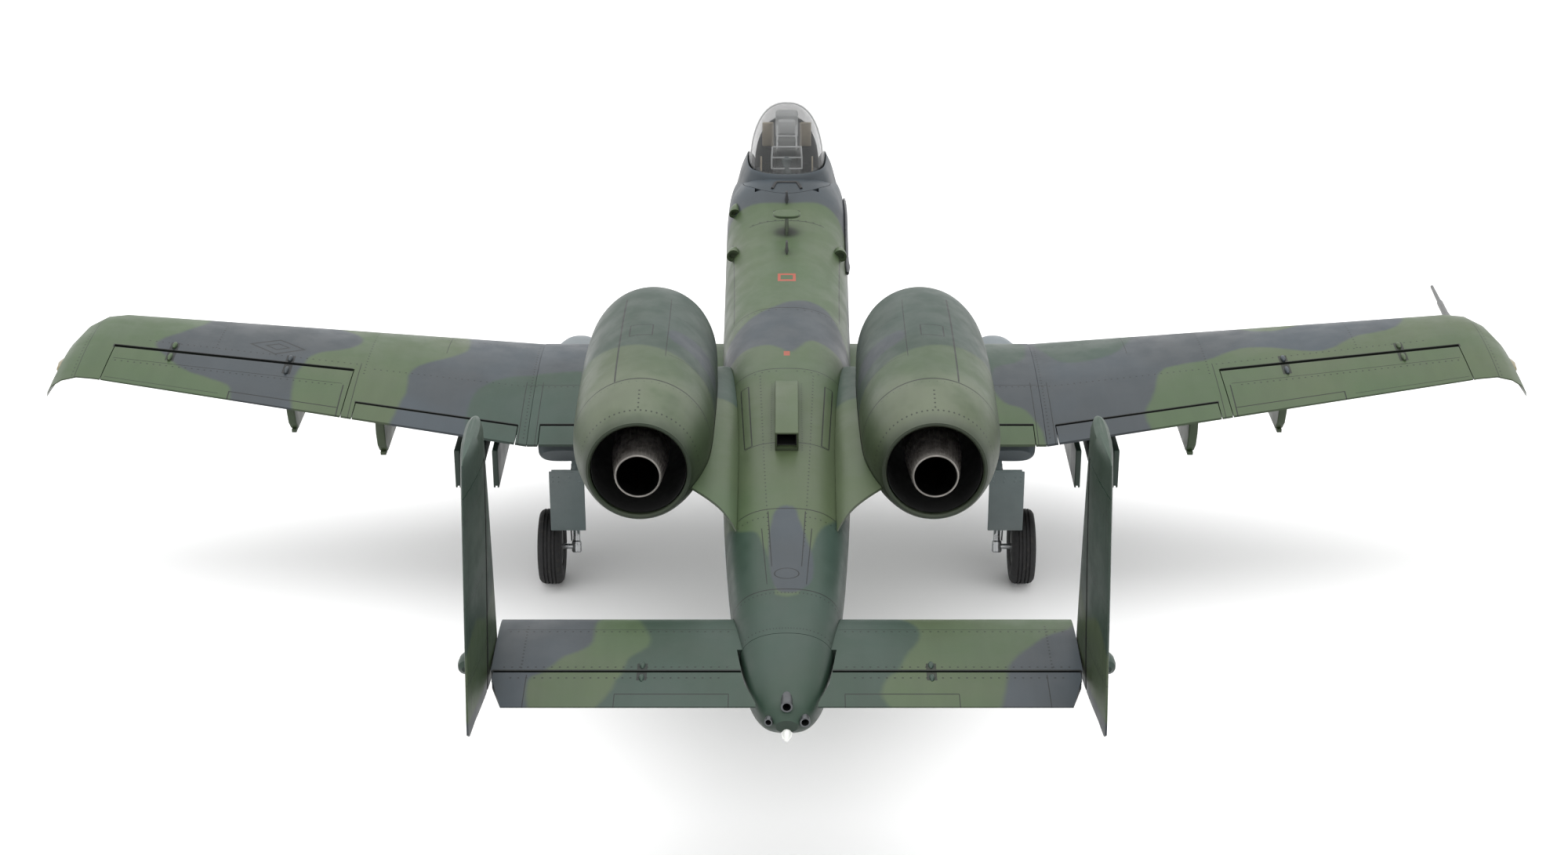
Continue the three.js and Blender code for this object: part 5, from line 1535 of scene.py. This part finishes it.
# ---------- engines ----------

# s and radius: the outer skin from the intake lip to the tail, then the duct forwards again
OUTER_ROWS = 10
NACELLE = [
    (8.78, 0.59), (8.8, 0.622), (8.95, 0.677), (9.3, 0.73), (10.0, 0.755), (11.0, 0.752), (11.76, 0.73),
    (12.15, 0.666), (12.42, 0.585), (12.5, 0.545), (12.5, 0.5), (12.1, 0.54), (11.0, 0.572), (9.0, 0.563),
]
NACELLE_DARK = [degrees_outline([
    (-185, 8.0), (-185, 11.05), (-60, 11.06), (-30, 11.0), (-10, 10.94), (0, 10.9), (20, 10.82),
    (45, 10.68), (62, 10.55), (120, 10.4), (185, 10.4), (185, 8.0),
])]
NACELLE_GREY = [degrees_outline([
    (-80, 10.36), (-60, 10.32), (-40, 10.31), (-22, 10.34), (-18, 10.45), (-22, 10.62), (-40, 10.7),
    (-60, 10.74), (-80, 10.7),
])]


def smooth_profile(rows, steps=6):
    """An open run of profile rows drawn out into a smooth curve."""
    p = np.array([rows[0]] + list(rows) + [rows[-1]], float)
    out = []
    for i in range(1, len(p) - 2):
        for t in spread(0, 1, steps, False):
            out.append(tuple(float(v) for v in between(*p[i - 1:i + 3], t)))
    return out + [tuple(rows[-1])]


def on_engine(profile, sides=96, closed=True):
    """A profile turned round the right-hand engine's axis."""
    return turned(profile, at(ENGINE_X, 0, ENGINE_Z), AFT, sides, closed)


def build_nacelle():
    outer = smooth_profile(NACELLE[:OUTER_ROWS], 8)
    lip = [(12.505, 0.52), (12.49, 0.503)]
    inner = smooth_profile([*NACELLE[OUTER_ROWS:], (8.86, 0.566)], 8)[1:]
    shell = on_engine(fine_profile(outer + lip + inner, 0.06), 128)

    def paint(obj, side):
        camouflage(obj, nacelle_view, NACELLE_GREY, NACELLE_DARK)
        field(obj, "around", nacelle_angle(vertices(obj)))

    both(shell, "nacelle", "airframe", SKIN["nacelle"], paint=paint)
    # a near-black liner over the inside of the nacelle's duct, painted shade for the dark inside
    liner = on_engine([
        (9.3, 0.5625), (10.3, 0.5675), (11.4, 0.5555), (12.1, 0.5335), (12.44, 0.5), (12.455, 0.492),
        (12.44, 0.49), (12.1, 0.5275), (11.4, 0.5495), (10.3, 0.5615), (9.3, 0.5565)])
    both(liner, "duct_liner", "airframe", DUCT_SHADE_BLACK, False)


def build_core():
    body = on_engine(fine_profile([
        (9.86, 0.235), (10.6, 0.255), (11.5, 0.29), (12.1, 0.29), (12.62, 0.24), (12.625, 0.229),
        (12.62, 0.218), (12.1, 0.212), (10.5, 0.2), (10.45, 0.186), (9.86, 0.186)], 0.08))
    for i in range(5):
        a = 2 * math.pi * (i + 0.5) / 5
        fuse(body, radial_blade(0.245, 0.556, 10.3, 0.42, 0.03, (0, 0), a, 24))
    both(body, "core_nozzle", "airframe", NOZZLE)
    ridges = []
    for i in range(36):
        a = 2 * math.pi * i / 36
        run = [at(ENGINE_X + r * math.cos(a), s, ENGINE_Z + r * math.sin(a))
               for s, r in ((12.02, 0.288), (12.12, 0.291), (12.35, 0.27), (12.58, 0.246), (12.61, 0.24))]
        ridges.append(rod(run, [w * M for w in (0.003, 0.007, 0.007, 0.006, 0.003)], 8))
    both(gather(*ridges), "nozzle_ridges", "airframe", NOZZLE, False)
    rings = [on_engine([(s, r), (s + 0.012, r + 0.006), (s + 0.024, r)])
             for s, r in ((12.0, 0.289), (11.3, 0.28))]
    both(gather(*rings), "nozzle_bands", "airframe", NOZZLE, False)


def radial_blade(r0, r1, s, chord, thick, twist, angle, steps=10):
    """A blade from r0 to r1 round the engine axis; twist is the pitch in radians at its root and tip."""
    rings = []
    for t in spread(0, 1, steps):
        pitch = twist[0] + (twist[1] - twist[0]) * t
        r = r0 + (r1 - r0) * t
        ring = []
        for k in range(20):
            u = 2 * math.pi * k / 20
            along, across_it = chord / 2 * math.cos(u), thick / 2 * math.sin(u) * (1.1 - 0.3 * math.cos(u))
            ds = along * math.cos(pitch) - across_it * math.sin(pitch)
            side = along * math.sin(pitch) + across_it * math.cos(pitch)
            ring.append(at(ENGINE_X + r * math.cos(angle) - side * math.sin(angle), s + ds,
                           ENGINE_Z + r * math.sin(angle) + side * math.cos(angle)))
        rings.append(ring)
    return loft(rings)


def build_fan():
    spinner = on_engine(smooth_profile([(9.1, 0.002), (9.17, 0.08), (9.32, 0.155), (9.46, 0.185)], 8)
                        + [(9.78, 0.185), (9.78, 0.034), (9.62, 0.034), (9.62, 0.002)], 64, False)
    blades = [radial_blade(0.17, 0.55, 9.62, 0.19, 0.026, (0.45, 0.95), 2 * math.pi * i / 9)
              for i in range(9)]
    both(gather(spinner, *blades), "fan_rotor", "fan", BLACK)
    can = on_engine([(9.9, 0.06), (9.9, 0.16), (9.93, 0.175), (10.05, 0.175), (10.06, 0.165), (10.24, 0.165),
                     (10.25, 0.175), (10.38, 0.175), (10.4, 0.16), (10.4, 0.06)], 64, False)
    shaft = bar(at(ENGINE_X, 9.66, ENGINE_Z), at(ENGINE_X, 9.95, ENGINE_Z), 0.028 * M)
    both(gather(can, shaft), "fan_motor", "airframe", COPPER)


PYLON_ROWS = [
    (0.3, 8.75, 13.22, 2.16, 0.06, 0.02), (0.46, 8.85, 13.1, 2.28, 0.06, 0.02),
    (0.57, 8.95, 12.94, 2.42, 0.065, 0.02), (0.7, 9.05, 12.75, 2.5, 0.07, 0.02),
    (0.97, 9.25, 12.45, 2.56, 0.08, 0.02), (1.35, 9.4, 12.2, 2.66, 0.09, 0.02),
]


def build_engine_pylons():
    rows = [(x, *table_at(PYLON_ROWS, x)) for x in spread(0.3, 1.35, 22)]
    pylon = wing_loft(rows, step=0.05)
    skin = [(s, r + SEAM / M) for s, r in smooth_profile(NACELLE[:OUTER_ROWS], 8)]
    hole = on_engine([(8.4, 0.01)] + skin + [(12.9, 0.5), (12.9, 0.01)], 128, False)
    cut(pylon, fuselage_between(7, 14.5, SEAM), hole)
    largest(pylon)

    def paint(obj, side):
        camouflage(obj, plan_view, (), [[(-2, 8.5), (2, 8.5), (2, 10.0), (0.9, 10.4), (-0.9, 10.4),
                                         (-2, 10.0)]])

    both(pylon, "engine_pylon", "airframe", SKIN["tail"], paint=paint)


# ---------- undercarriage ----------

STRUT_X, WHEEL_X = 2.57, 2.87
LEG_S, LEG_Z = 7.92, 1.25  # the pivot of a main leg
AXLE_S = 8.42
MAIN_WHEEL = {"radius": 0.46, "half": 0.15, "rim": 0.27}
NOSE_WHEEL = {"radius": 0.3, "half": 0.09, "rim": 0.17}
POD = [
    (5.1, 0.04, 1.26, 1.18), (5.22, 0.15, 1.37, 1.07), (5.5, 0.26, 1.46, 0.99), (5.95, 0.35, 1.52, 0.96),
    (6.6, 0.375, 1.52, 0.95), (7.3, 0.36, 1.52, 0.95), (8.2, 0.31, 1.5, 0.98), (8.4, 0.29, 1.3, 1.02),
    (8.54, 0.23, 1.22, 1.08),
]


def build_pods():
    rings = []
    for s in spread(5.1, 5.9, 22) + spread(6.0, 8.2, 30) + spread(8.24, 8.54, 10):
        half, top, bottom = table_at(POD, s)
        rings.append([at(2.7 + half * powered(math.cos(a), 2.8), s,
                         (top + bottom) / 2 + (top - bottom) / 2 * powered(math.sin(a), 2.8))
                      for a in spread(0, 2 * math.pi, 64, False)])
    pod = loft(rings)
    cut(pod, wing_loft(reaching(CENTRE_ROWS, 3.4), SEAM), block(2.68, 3.045, 5.9, 7.0, 0, 1.36),
        block(2.46, 2.72, 6.1, 8.3, 0, 1.36))
    largest(pod)
    both(pod, "gear_pod", "airframe", SKIN["pod"])


def tyre(wheel, centre):
    """A tyre with round shoulders, four tread grooves and a bead."""
    r, h, rim = wheel["radius"], wheel["half"], wheel["rim"]
    profile = [(h * 0.8, rim), (h * 0.86, rim + 0.02), (h * 0.98, r * 0.72), (h * 0.985, r * 0.8),
               (h * 0.94, r * 0.9), (h * 0.78, r * 0.965), (h * 0.56, r * 0.993)]
    for groove in (0.44, 0.16):
        profile += [(h * (groove + 0.06), r), (h * (groove + 0.05), r * 0.965),
                    (h * (groove - 0.05), r * 0.965), (h * (groove - 0.06), r)]
    whole = [(-a, b) for a, b in profile] + profile[::-1]
    return turned(whole, centre, (1, 0, 0), 96)


def wheel_rim(wheel, centre, bore):
    """A dished rim with a hub and eight spoke holes."""
    h, edge = wheel["half"], wheel["rim"] - SEAM / M
    profile = [(h * 0.75, edge), (h * 0.72, edge - 0.018), (h * 0.5, edge - 0.03), (h * 0.36, edge - 0.075),
               (h * 0.36, bore + 0.06), (h * 0.6, bore + 0.035), (h * 0.6, bore)]
    rim = turned([(-a, b) for a, b in profile] + profile[::-1], centre, (1, 0, 0), 96)
    middle, through = (edge - 0.075 + bore + 0.06) / 2, Vector((0.02, 0, 0))
    for k in range(8):
        a = 2 * math.pi * k / 8
        spot = centre + Vector((0, math.cos(a), math.sin(a))) * (middle * M)
        cut(rim, drill(spot - through, spot + through, 0.022, 16))
    return rim


def build_main_gear():
    axle_z = MAIN_WHEEL["radius"] - GROUND
    top, foot = at(STRUT_X, LEG_S, LEG_Z), at(STRUT_X, AXLE_S, axle_z)
    on_leg = lambda share: top.lerp(foot, share)
    leg = rod([on_leg(t) for t in (0, 0.005, 0.3, 0.31, 0.34, 0.35, 0.58, 0.6, 0.602)],
              [r * M for r in (0.05, 0.06, 0.06, 0.066, 0.066, 0.06, 0.06, 0.066, 0.05)], 40)
    fuse(leg, bar(at(2.49, LEG_S, LEG_Z), at(2.66, LEG_S, LEG_Z), 0.05 * M, sides=40))
    piston = rod([on_leg(t) for t in (0.5, 0.92, 0.95, 0.96, 1.04, 1.05)],
                 [r * M for r in (0.042, 0.042, 0.045, 0.058, 0.06, 0.05)], 40)
    axle = tube([(x, AXLE_S, axle_z, r) for x, r in (
        (STRUT_X, 0.034), (2.78, 0.034), (2.8, 0.033), (2.985, 0.033), (2.99, 0.034), (3.0, 0.028))], 32)
    links = []
    knee = on_leg(0.72) + Vector((0, -0.125 * M, 0))
    for dx in (-0.024, 0.024):
        shift = Vector((dx * M, 0, 0))
        links.append(bar(on_leg(0.55) + shift, knee + shift * 0.6, 0.013 * M, 0.009 * M, 16))
        links.append(bar(knee + shift * 0.6, on_leg(0.93) + shift, 0.009 * M, 0.013 * M, 16))
    half_pin = Vector((0.03 * M, 0, 0))
    links.append(bar(knee - half_pin, knee + half_pin, 0.014 * M, sides=16))
    route = [on_leg(share) + Vector((dx * M, dy * M, 0)) for share, dx, dy in (
        (0.34, 0.06, -0.01), (0.55, 0.08, -0.05), (0.75, 0.07, -0.07), (0.95, 0.06, -0.01))]
    hose = rod(route, [0.009 * M] * 4, 10)
    both(gather(leg, *links), "main_strut", "main_leg", SKIN["pale"])
    both(gather(piston, axle), "main_piston", "main_leg", STEEL, False)
    both(hose, "brake_hose", "main_leg", BLACK, False)
    wheel = at(WHEEL_X, AXLE_S, axle_z)
    both(tyre(MAIN_WHEEL, wheel), "main_tyre", "main_wheel", RUBBER)
    both(wheel_rim(MAIN_WHEEL, wheel, 0.035 + SEAM / M), "main_rim", "main_wheel", HUB_METAL)
    build_leg_doors()


def build_leg_doors():
    s, z, length, thick = 8.76, 1.05, 0.78, 0.024
    plate = side_prism([(s, z), (s + thick, z), (s + thick, z - length), (s, z - length)], 2.42, 2.84)
    rounded(plate, 0.7 * MM)
    ribs = [block(x - 0.012, x + 0.012, s - 0.012, s + 0.006, z - length + 0.06, z - 0.05)
            for x in (2.5, 2.63, 2.76)]
    ribs += [block(2.47, 2.79, s - 0.01, s + 0.006, h - 0.012, h + 0.012) for h in (z - 0.2, z - 0.56)]
    for rib in ribs:
        rounded(rib, 0.25 * MM, 2)
    barrel = bar(at(2.45, s, z), at(2.81, s, z), 0.018 * M, sides=20)
    bolts = [turned([(-0.005, 0.012), (0.0, 0.014), (0.004, 0.009)], at(x, s + thick, h), AFT, 12, False)
             for x in (2.47, 2.6, 2.73, 2.8) for h in (z - 0.07, z - 0.13)]
    both(gather(plate, barrel, *ribs, *bolts), "strut_door", "leg_door", SKIN["pale"])


def build_nose_gear():
    x, s, collar, crown = 0.28, 3.05, 0.42, NOSE_WHEEL["radius"] * 2 - GROUND + 0.08
    strut = tube([(x, s, z, r) for z, r in (
        (1.25, 0.042), (1.24, 0.05), (0.8, 0.05), (0.79, 0.056), (0.74, 0.056), (0.73, 0.05), (0.47, 0.05),
        (0.46, 0.056), (0.42, 0.056))], 36)
    fuse(strut, bar(at(0.15, s, LEG_Z), at(0.41, s, LEG_Z), 0.04 * M))
    piece(strut, "nose_strut.fine", "nose_leg", SKIN["pale"], ["nose_strut"])
    axle_z, axle_s, reach = NOSE_WHEEL["radius"] - GROUND, 3.14, NOSE_WHEEL["half"] + 0.035
    fork = bar(at(x, s, collar - SEAM / M), at(x, s, crown), 0.04 * M)
    fuse(fork, block(x - reach - 0.022, x + reach + 0.022, s - 0.05, s + 0.06,
                     crown - 0.03, crown + 0.03, 0.8 * MM))
    for sign in (-1, 1):
        side = x + sign * reach
        fuse(fork, bar(at(side, s, crown), at(side, axle_s, axle_z), 0.024 * M, 0.02 * M))
    fuse(fork, bar(at(x - reach - 0.02, axle_s, axle_z), at(x + reach + 0.02, axle_s, axle_z), 0.022 * M))
    lamp = turned([(-0.06, 0.03), (-0.05, 0.045), (0.0, 0.05), (0.01, 0.04)], at(x, s - 0.08, 0.36),
                  (0, 1, 0), 24, False)
    piece(gather(fork, lamp), "nose_fork.fine", "nose_steering", STEEL, ["nose_fork"])
    wheel = at(x, axle_s, axle_z)
    piece(tyre(NOSE_WHEEL, wheel), "nose_tyre.fine", "nose_wheel", RUBBER, ["nose_tyre"])
    piece(wheel_rim(NOSE_WHEEL, wheel, 0.022 + SEAM / M), "nose_rim.fine", "nose_wheel",
          HUB_METAL, ["nose_rim"])


# ---------- underwing pylons ----------

AILERON_SWING = (7.84, 1.78)  # the s and z behind and above which the outer pylon is cut clear


def underwing(x, s0, s1, bottom, half, height):
    """A pylon with a swept foot, trimmed to the wing's underside and below a height."""
    obj = side_prism([(s0, 2.6), (s1, 2.6), (s1, bottom + 0.3), (s1 - 0.06, bottom + 0.12),
                      (s1 - 0.18, bottom),
                      (s0 + 0.3, bottom), (s0 + 0.1, bottom + 0.08), (s0, bottom + 0.22)], x - half, x + half)
    rounded(obj, 1.6 * MM, 4)
    for rise in (0, 0.3, 0.6):
        cut(obj, wing_loft([(*row[:3], row[3] + rise, *row[4:]) for row in PANEL_ROWS[:3]], SEAM, 0.6))
    return cut(obj, block(x - 0.5, x + 0.5, 5, 10, height, 4))


def build_pylons():
    outer = underwing(6.02, 6.85, 8.02, 1.2, 0.05, 1.95)
    cut(outer, block(5.9, 6.2, AILERON_SWING[0], 8.3, AILERON_SWING[1], 4))
    shoe = rounded(block(5.99, 6.05, 6.98, 7.9, 1.17, 1.215), 0.4 * MM, 2)
    both(gather(largest(outer), shoe), "pylon_outer", "airframe", SKIN["plain"])
    middle = largest(underwing(4.88, 6.7, 8.42, 1.08, 0.055, 1.78))
    shoe = rounded(block(4.845, 4.915, 6.9, 8.3, 1.05, 1.095), 0.4 * MM, 2)
    both(gather(middle, shoe), "pylon_middle", "airframe", SKIN["plain"])
    rack, z, s0, s1 = 3.76, 0.98, 6.7, 8.2
    inner = largest(underwing(rack, 6.35, 8.0, z + 0.08, 0.055, 1.62))
    parts = [block(rack - 0.09, rack + 0.09, s0, s1, z - 0.1, z + 0.12, 1.2 * MM)]
    for dx in (-0.23, 0.23):
        x = rack + dx
        rail = block(x - 0.035, x + 0.035, s0 + 0.1, s1 + 0.12, z - 0.36, z + 0.14, 1.1 * MM)
        cut(rail, block(x - 0.014, x + 0.014, s0, s1 + 0.3, z - 0.37, z - 0.33))
        parts += [rail, block(rack + min(dx, 0), rack + max(dx, 0), 7.3, 7.5, z - 0.02, z + 0.06, 0.6 * MM)]
    both(gather(inner, *parts), "pylon_inner", "airframe", SKIN["dark"])


# ---------- inside the fuselage ----------


def build_inside():
    """The battery, its straps and the receiver, and a carbon finish for the wing tube."""
    cells = [rounded(block(-0.32, 0.32, 2.38 + 0.6 * k, 2.965 + 0.6 * k, 1.727, 2.09), 2.2 * MM, 4)
             for k in range(3)]
    piece(gather(*cells), "battery_pack.fine", "airframe", WRAP, ["battery_pack"])
    bands = [rounded(block(-0.329, 0.329, s, s + 0.09, 1.727, 2.099), 2.3 * MM, 3) for s in (2.9, 3.5)]
    piece(gather(*bands), "battery_straps", "airframe", STRAP)
    case = block(-0.19, 0.19, 4.92, 5.68, 1.73, 1.885, 1.0 * MM)
    pins = [rounded(block(-0.15 + 0.075 * k, -0.11 + 0.075 * k, 4.96, 5.0, 1.87, 1.9), 0.2 * MM, 1)
            for k in range(5)]
    piece(gather(case, *pins), "receiver.fine", "airframe", BLACK, ["receiver"])
    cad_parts["wing_spar_tube"].data.materials.clear()
    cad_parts["wing_spar_tube"].data.materials.append(CARBON)


# ---------- studio ----------


SKY_STRENGTH = 1.4
LIGHT_AIM = Vector((0, 0, 0.2))


def build_studio():
    size = 30.0
    floor = shape("floor", [(-size, -size, 0), (size, -size, 0), (size, size, 0), (-size, size, 0)],
                  [(0, 1, 2, 3)])
    p = Paint("studio_floor", Roughness=0.9)
    cloud = p.noise(0.8, 2)
    floor.data.materials.append(p.finish(p.brighten((0.95, 0.95, 0.95), cloud.ramp(0.2, 0.8, 0.985, 1.015))))
    world = bpy.data.worlds.new("studio")
    world.use_nodes = True
    sky = world.node_tree.nodes["Background"]
    sky.inputs["Color"].default_value = (1, 1, 1, 1)
    sky.inputs["Strength"].default_value = SKY_STRENGTH
    bpy.context.scene.world = world
    # name, place, width, depth and watts
    for name, place, size_x, size_y, power in (("overhead", (0, 0.1, 2.3), 2.6, 2.0, 26),
                                               ("behind", (0, -2.6, 1.8), 2.4, 1.0, 5)):
        light = bpy.data.lights.new(name, "AREA")
        light.shape = "RECTANGLE"
        light.size, light.size_y, light.energy = size_x, size_y, power
        lamp = bpy.data.objects.new(name, light)
        lamp.location = place
        lamp.rotation_euler = (LIGHT_AIM - Vector(place)).to_track_quat("-Z", "Y").to_euler()
        bpy.context.scene.collection.objects.link(lamp)
    bpy.context.scene.view_settings.view_transform = "Standard"


FOCAL_LENGTH = 58.49
CAMERA_S, CAMERA_Z = 36.328, 13.885
CAMERA_DIP = 24.035  # degrees below level


def build_camera():
    """Behind the tail and above it, on the centreline."""
    lens = bpy.data.cameras.new("camera")
    lens.lens, lens.sensor_width = FOCAL_LENGTH, 36.0
    lens.shift_x, lens.shift_y = -0.00175, 0.0015
    lens.clip_start, lens.clip_end = 0.05, 100
    camera = bpy.data.objects.new("camera", lens)
    camera.location = at(0, CAMERA_S, CAMERA_Z)
    camera.rotation_euler = (math.radians(90 - CAMERA_DIP), 0, 0)
    bpy.context.scene.collection.objects.link(camera)
    bpy.context.scene.camera = camera


build_studio()
build_camera()
for build in (build_wing, build_wing_fittings, build_fuselage, build_tail_cone, build_fuselage_fittings,
              build_gun, build_canopy, build_canopy_sill, build_cockpit, build_tail, build_nacelle,
              build_core, build_fan, build_engine_pylons, build_pods, build_main_gear, build_nose_gear,
              build_pylons, build_inside):
    build()
